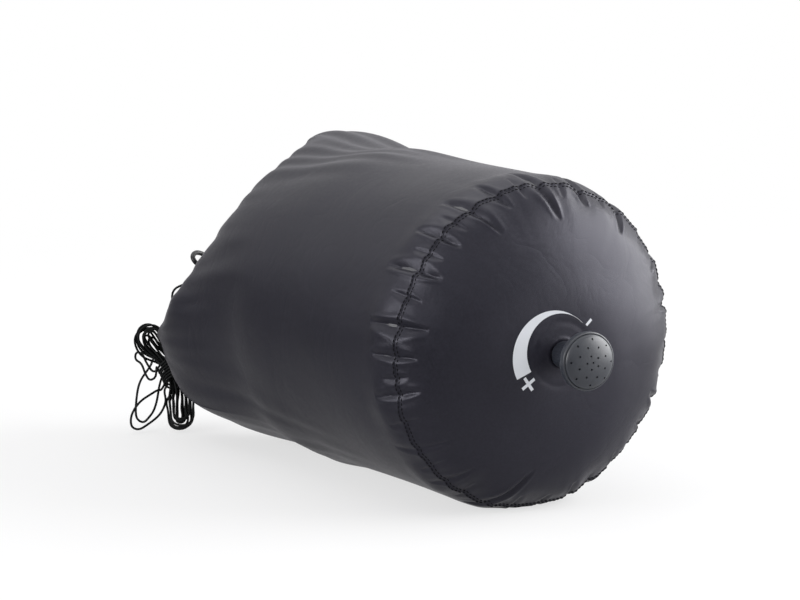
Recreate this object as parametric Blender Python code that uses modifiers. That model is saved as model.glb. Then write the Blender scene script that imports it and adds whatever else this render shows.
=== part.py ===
"""Camp shower bag: a roll-top bag of coated nylon, full and lying on its side, with a twist-open shower rose.

The bag's axis runs level along Y. Its round base, with the outlet, faces -Y, and its mouth is rolled up, bent
into a carry loop and buckled behind, towards +Y. It rests on the floor at z = 0 on a strip that its weight
presses flat. Lengths are metres. Every piece hangs on an empty at the middle of the base seam, so positions
below are measured from there: x to the right, y along the bag towards the mouth, z up.
"""

import math

import bmesh
import bpy
import numpy as np
from mathutils import Matrix, Vector

# Clearances and overruns
GAP = 0.0003
OVERRUN = 0.002
MERGE = 0.00001

# Fabric tube
SEAM_RADIUS = 0.100
BODY_RADIUS = 0.107
AXIS_HEIGHT = 0.105
FABRIC_WALL = 0.0012
BODY_LENGTH = 0.3257
SWELL_LENGTH = 0.030
SHOULDER_START = 0.1506
MOUTH_HALF_BAND = 0.008
INNER_MOUTH_SETBACK = 0.004
INNER_EAR_SETBACK = 0.009

# Mouth: it lies on a slanting line behind the bag, set off the axis
MOUTH_TILT = math.radians(47.46)
MOUTH_OFFSET = 0.0287
MOUTH_SHIFT = -0.0047
MOUTH_LEAN = math.radians(7.37)
EAR_REACH = 0.1555
UPPER_FULLNESS_SHARE = 2.151
LOWER_FULLNESS_SHARE = 3.378
EAR_START_SHARE = 0.34
CREASE_START_SHARE = 0.057
BEND_START_SHARE = 0.358
EAR_FAN_SHARE = 0.6
EAR_TURN_LIMIT = 2.9
TINY_SHARE = 0.00001

# The seam ring is a little out of round, as the weight of the bag leaves it
SEAM_OVAL_SHARE = 0.021
SEAM_OVAL_TURN = math.radians(66.2)
SEAM_OVAL_FADE = 0.060

# The lower side of the narrowing end sags to the floor
SAG_DEPTH = 0.0065
SAG_START_SHARE = 0.35

# Carry loop that the roll makes. Webbing and buckle bridge the space between the roll's two ends
LOOP_RADIUS = 0.0331
LOOP_SLACK = 0.0010
LOOP_LIFT = 0.0004
ROLL_HALF_LENGTH = 0.1453
ROLL_END_PLACE = 0.0363
ROLL_SHEET = 0.0010
ROLL_PITCH = 0.00145
ROLL_HALF_FLAT = 0.0097
STIFFENER_THICKNESS = 0.0010
STIFFENER_WIDTH = 0.0190
STIFFENER_SETBACK = 0.008

# Base panel
BASE_BULGE = 0.036
BASE_FLAT_RADIUS = 0.0215
BASE_DOME_SHARE = 0.62

# Seam tapes inside
TAPE_THICKNESS = 0.0006
SIDE_TAPE_END = 0.225

# Outlet and valve, measured outwards from the base panel's outer face
FLANGE_RADIUS = 0.020
FLANGE_THICKNESS = 0.0025
GASKET_THICKNESS = 0.0010
GASKET_EDGE = 0.0012
NECK_RADIUS = 0.0072
NECK_LENGTH = 0.0190
NECK_BORE = 0.0046
ORING_GROOVE_START = 0.0155
ORING_GROOVE_WIDTH = 0.0020
ORING_GROOVE_DEPTH = 0.0017
ORING_CORD = 0.0014
KEYWAY_REACH = 0.0055
KEYWAY_END = 0.0100
VANE_THICKNESS = 0.0012
VANE_INNER_END = 0.0015
VANE_OUTER_END = 0.0140
KEY_OUTER_END = 0.0055
STEM_RADIUS = 0.0018
DISC_RADIUS = 0.0066
DISC_THICKNESS = 0.0015
SEAL_THICKNESS = 0.0012
TIP_RADIUS = 0.0011
TIP_LENGTH = 0.0053
BOSS_LIP = 0.0012
BOSS_RADIUS = 0.0029
BOSS_POCKET_RADIUS = 0.0021
CLIP_THICKNESS = 0.0008
CLIP_RADIUS = 0.0018
DISC_TO_BOSS = 0.0017

# Shower head
SLEEVE_RADIUS = 0.0085
SLEEVE_START = 0.0015
SLEEVE_LENGTH = 0.0180
HEAD_RADIUS = 0.01875
HEAD_RIM_START = 0.0276
HEAD_RIM_WIDTH = 0.00175
HEAD_RIM_DEPTH = 0.0024
HEAD_RIM_ROUND = 0.0009
HEAD_WALL = 0.0013
HEAD_FLARE_SHARES = ((0.12, 0.20), (0.48, 0.56), (0.80, 0.83), (0.95, 0.97))
HEAD_HOLLOW_SHARES = (0.22, 0.16)
ROSE_DOME = 0.0040
ROSE_THICKNESS = 0.0015
ROSE_RIM_DEPTH = 0.0018
ROSE_RIM_WIDTH = 0.0019
SPRAY_HOLE_RADIUS = 0.00065
SPRAY_RING_RADII = (0.0039, 0.0096, 0.0143)
SPRAY_RING_COUNTS = (5, 8, 8)
SPRAY_RING_TURNS = (math.radians(18.0), math.radians(22.5), math.radians(3.0))

# Webbing, side-release buckle and ring
WEBBING_HALF_WIDTH = 0.0099
WEBBING_THICKNESS = 0.0012
BUCKLE_SHIFT = 0.0080
BUCKLE_HALF_WIDTH = 0.0130
BUCKLE_HALF_THICKNESS = 0.0040
BUCKLE_HALF_LENGTH = 0.0243
BUCKLE_EDGE = 0.0008
BAR_HALF_THICKNESS = 0.0015
BAR_WIDTH = 0.0043
SLOT_WIDTH = 0.0031
SLOT_HALF_LENGTH = 0.0102
SOCKET_MOUTH = 0.0080
SOCKET_DEPTH = 0.0140
SOCKET_CAVITY_HALF_WIDTH = 0.0098
SOCKET_CAVITY_HALF_THICKNESS = 0.0024
WINDOW_START = 0.0030
WINDOW_END = 0.0120
TONGUE_HALF_WIDTH = 0.0019
TONGUE_HALF_THICKNESS = 0.0015
TONGUE_END = 0.0110
PRONG_HALF_THICKNESS = 0.0019
PRONG_ROOT = 0.0066
PRONG_ARM_WIDTH = 0.0018
PRONG_SHOULDER = 0.0034
PRONG_TIP = 0.0114
PRONG_BUTTON_REACH = 0.0124
PRONG_INNER = 0.0058
RING_WIRE_RADIUS = 0.00175
RING_HALF_WIDTH = 0.0140
RING_REACH = 0.0172
RING_CORNER = 0.0040
RING_PLACE = -0.0310
RING_SLIDE = -0.0030
RING_TILT = math.radians(49.0)
RING_TAB_HALF_WIDTH = 0.0066
RING_TAB_LENGTH = 0.0105

# Hanging cord and its hank. The hank's frame: along it from its top, across it, and towards its facing side
CORD_DIAMETER = 0.0015
HANK_FACING = (-0.4864, -0.8597, 0.1555)
HANK_ROUTE = (
    (-0.0820, 0.3950, 0.0685),
    (-0.0740, 0.3915, 0.0545),
    (-0.0655, 0.3830, 0.0400),
    (-0.0665, 0.3680, 0.0250),
    (-0.0740, 0.3520, 0.0112),
    (-0.0785, 0.3430, 0.0022),
)
HANK_TOP = 0.0000
HANK_RUN = 0.0720
HANK_TOP_PITCH = 0.0026
HANK_BOTTOM_PITCH = 0.00225
HANK_WAIST_PITCH = 0.00138
HANK_WIDTH_SHARE = 3.9
HANK_WAIST = 0.0400
HANK_WAIST_HALF = 0.0095
HANK_WAIST_RAMP = 0.0140
HANK_LAYER_STEP = 0.0022
HANK_WAIST_LAYER_STEP = 0.0039
HANK_WAIST_ZIGZAG = 0.00095
HANK_LAYERS = 3
HANK_SPIRAL_SHARE = 3.5
HANK_CLIMB_SHARE = 0.3
HANK_START_SHARE = -0.05
HANK_LOOPS_SHARE = 10.2
POINTS_A_LOOP = 24
POINTS_A_RUN = 8
WRAP_RADIUS = 0.0096
WRAP_PITCH = 0.0030
WRAP_LEAD = 0.0060
WRAP_TURNS_SHARE = 6.4
POINTS_A_WRAP = 12
FERRULE_START = 0.0060
FERRULE_LENGTH = 0.0080
FERRULE_WALL = 0.0006
TIE_STEP = 0.0035
LEAD_STEP = 0.0045
TAIL_STEP = 0.0046
LEAD_ROUTE = (
    (-0.0560, 0.4060, 0.0900),
    (-0.0600, 0.3990, 0.0760),
)
TAIL_ROUTE = (
    (-0.0765, 0.3755, 0.0262),
    (-0.0813, 0.3710, 0.0262),
    (-0.0893, 0.3660, 0.0252),
    (-0.0963, 0.3630, 0.0231),
    (-0.1020, 0.3610, 0.0203),
    (-0.1059, 0.3610, 0.0157),
    (-0.1081, 0.3610, 0.0110),
    (-0.1083, 0.3610, 0.0067),
    (-0.1064, 0.3610, 0.0030),
    (-0.1034, 0.3600, 0.0020),
    (-0.1000, 0.3590, 0.0031),
    (-0.0958, 0.3580, 0.0057),
    (-0.0877, 0.3570, 0.0119),
    (-0.0844, 0.3580, 0.0157),
    (-0.0808, 0.3620, 0.0194),
    (-0.0772, 0.3700, 0.0224),
    (-0.0700, 0.3840, 0.0243),
    (-0.0611, 0.3980, 0.0260),
    (-0.0590, 0.4030, 0.0290),
    (-0.0629, 0.3980, 0.0319),
    (-0.0716, 0.3870, 0.0304),
    (-0.0775, 0.3790, 0.0254),
    (-0.0835, 0.3700, 0.0194),
    (-0.0888, 0.3650, 0.0129),
    (-0.0947, 0.3610, 0.0091),
    (-0.0999, 0.3600, 0.0068),
    (-0.1029, 0.3610, 0.0087),
    (-0.1030, 0.3640, 0.0129),
    (-0.1002, 0.3690, 0.0196),
    (-0.0953, 0.3760, 0.0274),
    (-0.0890, 0.3830, 0.0329),
    (-0.0834, 0.3880, 0.0359),
    (-0.0776, 0.3940, 0.0381),
    (-0.0734, 0.3990, 0.0397),
    (-0.0686, 0.4050, 0.0422),
    (-0.0622, 0.4090, 0.0417),
    (-0.0591, 0.4090, 0.0379),
    (-0.0632, 0.4040, 0.0347),
    (-0.0734, 0.3930, 0.0356),
    (-0.0794, 0.3870, 0.0380),
    (-0.0817, 0.3860, 0.0407),
    (-0.0815, 0.3900, 0.0428),
    (-0.0797, 0.3980, 0.0456),
    (-0.0806, 0.4020, 0.0485),
    (-0.0840, 0.4000, 0.0486),
    (-0.0873, 0.3960, 0.0458),
    (-0.0873, 0.3920, 0.0440),
    (-0.0863, 0.3880, 0.0425),
    (-0.0866, 0.3850, 0.0400),
    (-0.0873, 0.3800, 0.0369),
    (-0.0870, 0.3760, 0.0341),
    (-0.0854, 0.3730, 0.0334),
    (-0.0836, 0.3720, 0.0359),
    (-0.0819, 0.3740, 0.0393),
    (-0.0801, 0.3770, 0.0416),
)
GAP_SAMPLE = 0.0005
GAP_NEIGHBOUR = 0.0060

# Mesh fineness: the base tape runs from the second to the last but one of the swell's stations
SWELL_STATIONS = (0.0, 0.003, 0.009, 0.015, 0.022)
SWELL_STEP = 0.012
STATION_CROWDING_SHARE = 1.6
TUBE_SIDES = 48
RINGS = 23
SIDE_SEAM_SIDE = 33
PANEL_RINGS = 7
TURNED_STEPS = 24
HEAD_STEPS = 24
FINE_STEPS = 16
SPRAY_SIDES = 8
LOOP_STATIONS = 13


def smoothstep(share):
    """Rises from 0 to 1 with level ends."""
    share = np.clip(share, 0, 1)
    return share * share * (3 - 2 * share)


# Materials and objects

MATERIALS = {
    "coated_nylon": ((0.045, 0.043, 0.050), 0.48, 0.0),
    "tape": ((0.10, 0.10, 0.11), 0.40, 0.0),
    "webbing": ((0.020, 0.020, 0.022), 0.75, 0.0),
    "moulded_plastic": ((0.018, 0.018, 0.020), 0.30, 0.0),
    "head_plastic": ((0.070, 0.075, 0.082), 0.33, 0.0),
    "seal_rubber": ((0.012, 0.012, 0.012), 0.60, 0.0),
    "strip_plastic": ((0.55, 0.55, 0.52), 0.45, 0.0),
    "cord": ((0.012, 0.013, 0.014), 0.70, 0.0),
}


def material(name):
    found = bpy.data.materials.get(name)
    if found:
        return found
    colour, roughness, metallic = MATERIALS[name]
    made = bpy.data.materials.new(name)
    made.use_nodes = True
    shader = made.node_tree.nodes["Principled BSDF"]
    shader.inputs["Base Color"].default_value = (*colour, 1.0)
    shader.inputs["Roughness"].default_value = roughness
    shader.inputs["Metallic"].default_value = metallic
    return made


def clear_scene():
    for obj in list(bpy.data.objects):
        bpy.data.objects.remove(obj, do_unlink=True)


def new_collection(name):
    made = bpy.data.collections.new(name)
    bpy.context.scene.collection.children.link(made)
    return made


def link(obj, parent, collection):
    collection.objects.link(obj)
    obj.parent = parent
    return obj


def finish(obj, finish_name, parent):
    """Gives a piece its material and its place under an empty."""
    obj.data.materials.clear()
    obj.data.materials.append(material(finish_name))
    return link(obj, parent, PARTS)


def empty(name, parent, matrix):
    made = bpy.data.objects.new(name, None)
    PARTS.objects.link(made)
    made.parent = parent
    made.matrix_local = matrix
    return made


def mesh_object(name, points, faces):
    """A closed mesh from points and faces, turned so that its faces look outwards."""
    mesh = bpy.data.meshes.new(name)
    mesh.from_pydata([tuple(map(float, p)) for p in points], [], [tuple(map(int, f)) for f in faces])
    work = bmesh.new()
    work.from_mesh(mesh)
    bmesh.ops.recalc_face_normals(work, faces=work.faces)
    if work.calc_volume(signed=True) < 0:
        bmesh.ops.reverse_faces(work, faces=work.faces)
    work.to_mesh(mesh)
    work.free()
    mesh.shade_smooth()
    mesh.set_sharp_from_angle(angle=math.radians(40))
    return bpy.data.objects.new(name, mesh)


def grid_faces(rows, columns, close_rows=False):
    """Quads between rows of points, each row closed on itself."""
    faces = []
    last = rows if close_rows else rows - 1
    for i in range(last):
        for j in range(columns):
            a = i * columns + j
            b = i * columns + (j + 1) % columns
            c = ((i + 1) % rows) * columns + (j + 1) % columns
            d = ((i + 1) % rows) * columns + j
            faces.append((a, b, c, d))
    return faces


def zipped_cap(row, columns):
    """Closes a flat-pressed ring by joining each point to the one across the crease line."""
    first = row * columns
    half = columns // 2
    faces = [(first, first + 1, first + columns - 1)]
    for j in range(1, half - 1):
        faces.append((first + j, first + j + 1, first + columns - j - 1, first + columns - j))
    faces.append((first + half - 1, first + half, first + half + 1))
    return faces


def turned(name, profile, finish_name, parent, steps=TURNED_STEPS, closed=True):
    """Turns a profile of (radius, height outwards) about the bag's axis, outer side listed top to bottom."""
    mesh = bpy.data.meshes.new(name)
    edges = [(i, i + 1) for i in range(len(profile) - 1)]
    if closed:
        edges.append((len(profile) - 1, 0))
    mesh.from_pydata([(radius, 0, height) for radius, height in profile], edges, [])
    obj = bpy.data.objects.new(name, mesh)
    obj.rotation_euler = (math.pi / 2, 0, 0)
    screw = obj.modifiers.new("turn", "SCREW")
    screw.axis = "Z"
    screw.angle = math.tau
    screw.steps = steps
    screw.render_steps = steps
    screw.use_merge_vertices = True
    screw.merge_threshold = MERGE
    screw.use_smooth_shade = True
    return finish(obj, finish_name, parent)


def box_object(name, low, high):
    mesh = bpy.data.meshes.new(name)
    work = bmesh.new()
    bmesh.ops.create_cube(work, size=1.0)
    size = Vector(high) - Vector(low)
    centre = (Vector(high) + Vector(low)) / 2
    matrix = Matrix.Translation(centre) @ Matrix.Diagonal((*size, 1))
    bmesh.ops.transform(work, matrix=matrix, verts=work.verts)
    work.to_mesh(mesh)
    work.free()
    return bpy.data.objects.new(name, mesh)


def cutter(obj, parent):
    """A guide for a Boolean, kept out of the model."""
    obj.hide_render = True
    obj.display_type = "WIRE"
    return link(obj, parent, CUTTERS)


def boolean(obj, other, operation):
    made = obj.modifiers.new(operation.lower(), "BOOLEAN")
    made.operation = operation
    made.solver = "EXACT"
    made.object = other


def bevelled(obj, width, segments=2):
    made = obj.modifiers.new("edge", "BEVEL")
    made.width = width
    made.segments = segments
    made.limit_method = "ANGLE"
    made.angle_limit = math.radians(40)
    return obj


# Fabric tube

ACROSS = np.array([math.cos(MOUTH_TILT), 0, math.sin(MOUTH_TILT)])
ABOVE = np.array([-math.sin(MOUTH_TILT), 0, math.cos(MOUTH_TILT)])
BACKWARDS = np.array([0.0, 1.0, 0.0])
LOOP_RISE = math.cos(MOUTH_LEAN) * BACKWARDS - math.sin(MOUTH_LEAN) * ABOVE
LOOP_WIDTH = math.cos(MOUTH_LEAN) * ABOVE + math.sin(MOUTH_LEAN) * BACKWARDS


def tube_points(along, turns, inset, length, ear_reach):
    """Points of the fabric tube at distances along it (a column) and turns about it (a row).

    The section starts as a circle and is pressed into a lens with creased ends, whose half width grows to
    ear_reach and whose upper and lower sides close on the mouth along superellipses. Past LOOP_STRAIGHT the
    lens's two ends, the ears, bend backwards round the carry loop. The lower side of the lens sags.
    """
    swell = np.sqrt(1 - (1 - np.clip(along / SWELL_LENGTH, 0, 1)) ** 2)
    radius = SEAM_RADIUS + (BODY_RADIUS - SEAM_RADIUS) * swell - inset
    share = np.clip((along - SHOULDER_START) / (length - SHOULDER_START), 0, 1)
    whole = smoothstep((along - SHOULDER_START) / (BODY_LENGTH - SHOULDER_START))
    band = MOUTH_HALF_BAND - inset
    crease = MOUTH_OFFSET * whole
    closing_up = (1 - share**UPPER_FULLNESS_SHARE) ** (1 / UPPER_FULLNESS_SHARE)
    closing_down = (1 - share**LOWER_FULLNESS_SHARE) ** (1 / LOWER_FULLNESS_SHARE)
    top = MOUTH_OFFSET + band + (radius - MOUTH_OFFSET - band) * closing_up
    bottom = MOUTH_OFFSET - band - (radius + MOUTH_OFFSET - band) * closing_down
    # Towards the mouth the points are spread evenly across the flat section instead of evenly about a circle
    folded = np.minimum(turns, math.tau - turns)
    evened = np.arccos(np.clip(1 - 2 * folded / math.pi, -1, 1))
    turns = turns + whole * np.where(turns > math.pi, folded - evened, evened - folded)
    widening = smoothstep((share - EAR_START_SHARE) / (1 - EAR_START_SHARE))
    half_width = radius + (ear_reach - radius) * widening
    sharpness = 1 + smoothstep((share - CREASE_START_SHARE) / (1 - CREASE_START_SHARE))

    across = half_width * np.cos(turns) + MOUTH_SHIFT * whole
    side = np.sin(turns)
    height = np.where(side > 0, top - crease, crease - bottom)
    above = crease + height * np.abs(side) ** sharpness * np.sign(side)
    back = along + math.tan(MOUTH_LEAN) * (above - crease) * whole

    from_mouth = BODY_LENGTH - along
    reach = (1 - BEND_START_SHARE) * (BODY_LENGTH - SHOULDER_START)
    straightening = 1 - np.clip(from_mouth / reach, 0, 1) ** 2
    bend = straightening / (LOOP_RADIUS * straightening + EAR_FAN_SHARE * from_mouth) + TINY_SHARE
    beyond = np.maximum(np.abs(across) - LOOP_STRAIGHT, 0)
    turn = np.minimum(bend * beyond, EAR_TURN_LIMIT)
    rest = beyond - turn / bend
    bent = LOOP_STRAIGHT + np.sin(turn) / bend + rest * np.cos(turn)
    rise = (1 - np.cos(turn)) / bend + rest * np.sin(turn)
    across = np.where(beyond > 0, np.sign(across) * bent, across)
    back = back + math.cos(MOUTH_LEAN) * rise
    above = above - math.sin(MOUTH_LEAN) * rise

    points = across[..., None] * ACROSS + above[..., None] * ABOVE + back[..., None] * BACKWARDS
    place = np.arctan2(points[..., 2], points[..., 0])
    oval = 1 + SEAM_OVAL_SHARE * np.cos(2 * (place - SEAM_OVAL_TURN)) * np.exp(-back / SEAM_OVAL_FADE)
    points[..., 0] *= oval
    points[..., 2] *= oval
    low = np.clip(-points[..., 2] / AXIS_HEIGHT, 0, 1)
    points[..., 2] -= SAG_DEPTH * low * smoothstep(share / SAG_START_SHARE) * closing_down**2
    points[..., 2] = np.maximum(points[..., 2], inset - AXIS_HEIGHT)
    return points


def stations():
    """Distances along the tube: close together over the swell behind the seam and again towards the mouth."""
    swell = np.array(SWELL_STATIONS)
    first = swell[-1] + SWELL_STEP
    share = np.linspace(0, 1, RINGS - len(swell))
    rest = first + (BODY_LENGTH - first) * (1 - (1 - share) ** STATION_CROWDING_SHARE)
    return np.concatenate([swell, rest])[:, None]


def lining_stations():
    """The same distances as far as the inner skin's own mouth, so that the two skins' facets lie alike."""
    end = BODY_LENGTH - INNER_MOUTH_SETBACK
    along = stations()[:, 0]
    return np.concatenate([along[along < end - INNER_MOUTH_SETBACK / 2], [end]])[:, None]


def lining_points(along, turns, depth):
    """Points a given depth inside the tube's inner skin, which closes a little short of the mouth."""
    return tube_points(
        along, turns, FABRIC_WALL + depth, BODY_LENGTH - INNER_MOUTH_SETBACK, EAR_REACH - INNER_EAR_SETBACK
    )


def full_turn(count=TUBE_SIDES):
    return np.linspace(0, math.tau, count, endpoint=False)[None, :]


def bag_body(parent):
    """The tube's shell: outer skin down to the base rim, then the inner skin up to its own mouth."""
    outer = tube_points(stations(), full_turn(), 0.0, BODY_LENGTH, EAR_REACH)
    inner = lining_points(lining_stations(), full_turn(), 0.0)
    rings = np.concatenate([outer[::-1], inner])
    rows = len(rings)
    faces = zipped_cap(0, TUBE_SIDES) + grid_faces(rows, TUBE_SIDES) + zipped_cap(rows - 1, TUBE_SIDES)
    return finish(mesh_object("bag_body", rings.reshape(-1, 3), faces), "coated_nylon", parent)


def dome_profile(rim, bulge):
    """The base panel's face from the flat round the outlet to the seam: (radius, height outwards)."""
    share = np.linspace(0, 1, PANEL_RINGS)
    radius = BASE_FLAT_RADIUS + (rim - BASE_FLAT_RADIUS) * np.sin(share * math.pi / 2)
    fall = (radius - BASE_FLAT_RADIUS) / (rim - BASE_FLAT_RADIUS)
    height = GAP + (bulge - GAP) * (1 - fall**2) ** BASE_DOME_SHARE
    return list(zip(radius, height))


def base_panel(parent):
    """The domed fabric base, with the seam's oval fading out towards the round outlet hole."""
    hole = NECK_RADIUS + GAP
    outer = [(hole, BASE_BULGE), *dome_profile(SEAM_RADIUS, BASE_BULGE)]
    inside = BASE_BULGE - FABRIC_WALL
    inner = [(hole, inside), *dome_profile(SEAM_RADIUS - FABRIC_WALL, inside)]
    profile = np.array(outer + inner[::-1])
    turns = full_turn()
    oval = 1 + SEAM_OVAL_SHARE * np.cos(2 * (turns - SEAM_OVAL_TURN)) * (profile[:, :1] / SEAM_RADIUS) ** 2
    radius = profile[:, :1] * oval
    points = np.stack([radius * np.cos(turns), -profile[:, 1:] + 0 * turns, radius * np.sin(turns)], axis=-1)
    faces = grid_faces(len(profile), TUBE_SIDES, close_rows=True)
    return finish(mesh_object("base_panel", points.reshape(-1, 3), faces), "coated_nylon", parent)


def base_tape(parent):
    """A welded tape round the inside of the tube just behind the base seam."""
    along = np.array(SWELL_STATIONS[1:-1])[:, None]
    near = lining_points(along, full_turn(), GAP)
    far = lining_points(along, full_turn(), GAP + TAPE_THICKNESS)
    rings = np.concatenate([near, far[::-1]])
    faces = grid_faces(len(rings), TUBE_SIDES, close_rows=True)
    return finish(mesh_object("seam_tape", rings.reshape(-1, 3), faces), "tape", parent)


def side_tape(parent):
    """A welded tape along the tube's own seam, on the inside of its lower right side."""
    turns = full_turn()[:, SIDE_SEAM_SIDE:SIDE_SEAM_SIDE + 2]
    along = lining_stations()
    along = along[(along[:, 0] > SWELL_STATIONS[-2]) & (along[:, 0] < SIDE_TAPE_END)]
    near = lining_points(along, turns, GAP)
    far = lining_points(along, turns, GAP + TAPE_THICKNESS)
    rings = np.concatenate([near, far[:, ::-1]], axis=1)
    rows, columns = rings.shape[:2]
    ends = [tuple(range(columns)), tuple(range((rows - 1) * columns, rows * columns))]
    faces = grid_faces(rows, columns) + ends
    return finish(mesh_object("side_tape", rings.reshape(-1, 3), faces), "tape", parent)


# Rolled mouth and what it holds

ROLL_HALF_THICKNESS = STIFFENER_THICKNESS / 2 + GAP + ROLL_SHEET + ROLL_PITCH
LOOP_BASE = MOUTH_OFFSET * ABOVE + BODY_LENGTH * BACKWARDS
ROLL_CENTRE_RISE = GAP + LOOP_LIFT + ROLL_HALF_THICKNESS
ROLL_BEND_RADIUS = LOOP_RADIUS - ROLL_CENTRE_RISE - LOOP_SLACK
LOOP_TOP_RISE = ROLL_CENTRE_RISE + 2 * ROLL_BEND_RADIUS
LOOP_STRAIGHT = (ROLL_HALF_LENGTH + ROLL_END_PLACE - math.pi * ROLL_BEND_RADIUS) / 2
BUCKLE_PLACE = LOOP_BASE + BUCKLE_SHIFT * ACROSS + LOOP_TOP_RISE * LOOP_RISE


def loop_path(distance):
    """Centre, forward direction and outward direction at signed distances along the loop from its middle."""
    way = np.sign(distance)
    beyond = np.maximum(np.abs(distance) - LOOP_STRAIGHT, 0)
    turn = np.minimum(beyond / ROLL_BEND_RADIUS, math.pi)
    rest = beyond - turn * ROLL_BEND_RADIUS
    straight = np.minimum(np.abs(distance), LOOP_STRAIGHT)
    across = way * (straight + np.sin(turn) * ROLL_BEND_RADIUS + rest * np.cos(turn))
    rise = ROLL_CENTRE_RISE + (1 - np.cos(turn)) * ROLL_BEND_RADIUS
    centre = LOOP_BASE + across[:, None] * ACROSS + rise[:, None] * LOOP_RISE
    outward = (way * np.sin(turn))[:, None] * ACROSS - np.cos(turn)[:, None] * LOOP_RISE
    return centre, outward


def loop_sweep(name, section, ends, finish_name, parent):
    """Carries a section of (across the strip, outwards) along the carry loop between two distances."""
    bend = np.linspace(0, math.pi, LOOP_STATIONS) * ROLL_BEND_RADIUS + LOOP_STRAIGHT
    marks = np.concatenate([-bend[::-1], [0.0], bend])
    distance = np.concatenate([[ends[0]], marks[(marks > ends[0]) & (marks < ends[1])], [ends[1]]])
    centre, outward = loop_path(distance)
    section = np.array(section)
    wide = section[None, :, 0, None] * LOOP_WIDTH
    points = centre[:, None] + wide + section[None, :, 1, None] * outward[:, None]
    rows, columns = points.shape[:2]
    caps = [tuple(range(columns)), tuple(range((rows - 1) * columns, rows * columns))]
    obj = mesh_object(name, points.reshape(-1, 3), grid_faces(rows, columns) + caps)
    return finish(obj, finish_name, parent)


def arc(centre, radius, start, end, count):
    turns = np.linspace(math.radians(start), math.radians(end), count)
    return [(centre[0] + radius * math.cos(t), centre[1] + radius * math.sin(t)) for t in turns]


def roll_section():
    """A flattened spiral of fabric: over the stiffener, round and under it, and once more outside."""
    first = STIFFENER_THICKNESS / 2 + GAP + ROLL_SHEET / 2
    second = first + ROLL_PITCH
    middle = (second - first) / 2
    line = [(-ROLL_HALF_FLAT, first)]
    line += arc((ROLL_HALF_FLAT, 0.0), first, 90, -90, 4)
    line += arc((-ROLL_HALF_FLAT, middle), first + middle, 270, 90, 5)
    line += arc((ROLL_HALF_FLAT, 0.0), second, 90, -90, 5)
    line += [(-ROLL_HALF_FLAT, -second)]
    line = np.array(line)
    step = np.gradient(line, axis=0)
    step /= np.linalg.norm(step, axis=1)[:, None]
    side = np.stack([-step[:, 1], step[:, 0]], axis=1) * ROLL_SHEET / 2
    return np.concatenate([line + side, (line - side)[::-1]])


def roll_top(parent):
    ends = (-ROLL_HALF_LENGTH, ROLL_HALF_LENGTH)
    return loop_sweep("roll_top", roll_section(), ends, "coated_nylon", parent)


def stiffener(parent):
    wide = STIFFENER_WIDTH / 2
    thick = STIFFENER_THICKNESS / 2
    section = [(-wide, -thick), (wide, -thick), (wide, thick), (-wide, thick)]
    reach = ROLL_HALF_LENGTH - STIFFENER_SETBACK
    return loop_sweep("stiffener", section, (-reach, reach), "strip_plastic", parent)


def band(name, path, half_width, finish_name, parent, across="Y"):
    """A strip of webbing that follows a path in its frame, which lies square to its width."""
    path = np.array(path)
    step = np.gradient(path, axis=0)
    step /= np.linalg.norm(step, axis=1)[:, None]
    side = np.stack([-step[:, 1], step[:, 0]], axis=1) * WEBBING_THICKNESS / 2
    outline = np.concatenate([path + side, (path - side)[::-1]])
    rings = []
    for wide in (-half_width, half_width):
        if across == "Y":
            rings.append([(x, wide, z) for x, z in outline])
        else:
            rings.append([(wide, y, z) for y, z in outline])
    points = np.array(rings)
    rows, columns = points.shape[:2]
    caps = [tuple(range(columns)), tuple(range(columns, 2 * columns))]
    obj = mesh_object(name, points.reshape(-1, 3), grid_faces(rows, columns) + caps)
    return finish(obj, finish_name, parent)


# Buckle: its frame has x along the loop's top, y across the webbing, z away from the bag

BAR_OUTER = BUCKLE_HALF_LENGTH
BAR_INNER = BUCKLE_HALF_LENGTH - BAR_WIDTH
SLOT_INNER = BAR_INNER - SLOT_WIDTH
WEBBING_BEND = BAR_HALF_THICKNESS + GAP + WEBBING_THICKNESS / 2


def webbing_tab(name, way, parent):
    """A loop of webbing from the roll's end, round the buckle's bar and back, sewn together at the roll."""
    start = ROLL_END_PLACE - GAP - way * BUCKLE_SHIFT
    bend = BAR_INNER + 2 * GAP
    path = [(start, WEBBING_BEND)]
    path += [(x, z) for x, z in arc((bend, 0.0), WEBBING_BEND, 90, 270, 7)]
    path += [(start, -WEBBING_BEND)]
    path = [(way * x, z) for x, z in path]
    return band(name, path, WEBBING_HALF_WIDTH, "webbing", parent)


def buckle_end(obj, way, parent):
    """Cuts the webbing slot and thins the bar beside it at one end of a buckle half."""
    def span(near, far):
        return (way * near, way * far) if way > 0 else (way * far, way * near)

    high = BUCKLE_HALF_THICKNESS + OVERRUN
    far = BAR_OUTER + OVERRUN
    slot_x = span(SLOT_INNER, BAR_INNER)
    bar_x = span(BAR_INNER - GAP, far)
    boxes = [
        ((slot_x[0], -SLOT_HALF_LENGTH, -high), (slot_x[1], SLOT_HALF_LENGTH, high)),
        ((bar_x[0], -SLOT_HALF_LENGTH, BAR_HALF_THICKNESS), (bar_x[1], SLOT_HALF_LENGTH, high)),
        ((bar_x[0], -SLOT_HALF_LENGTH, -high), (bar_x[1], SLOT_HALF_LENGTH, -BAR_HALF_THICKNESS)),
    ]
    for number, (low, top) in enumerate(boxes):
        cut = cutter(box_object(f"{obj.name}_slot_{number}", low, top), parent)
        boolean(obj, cut, "DIFFERENCE")


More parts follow.
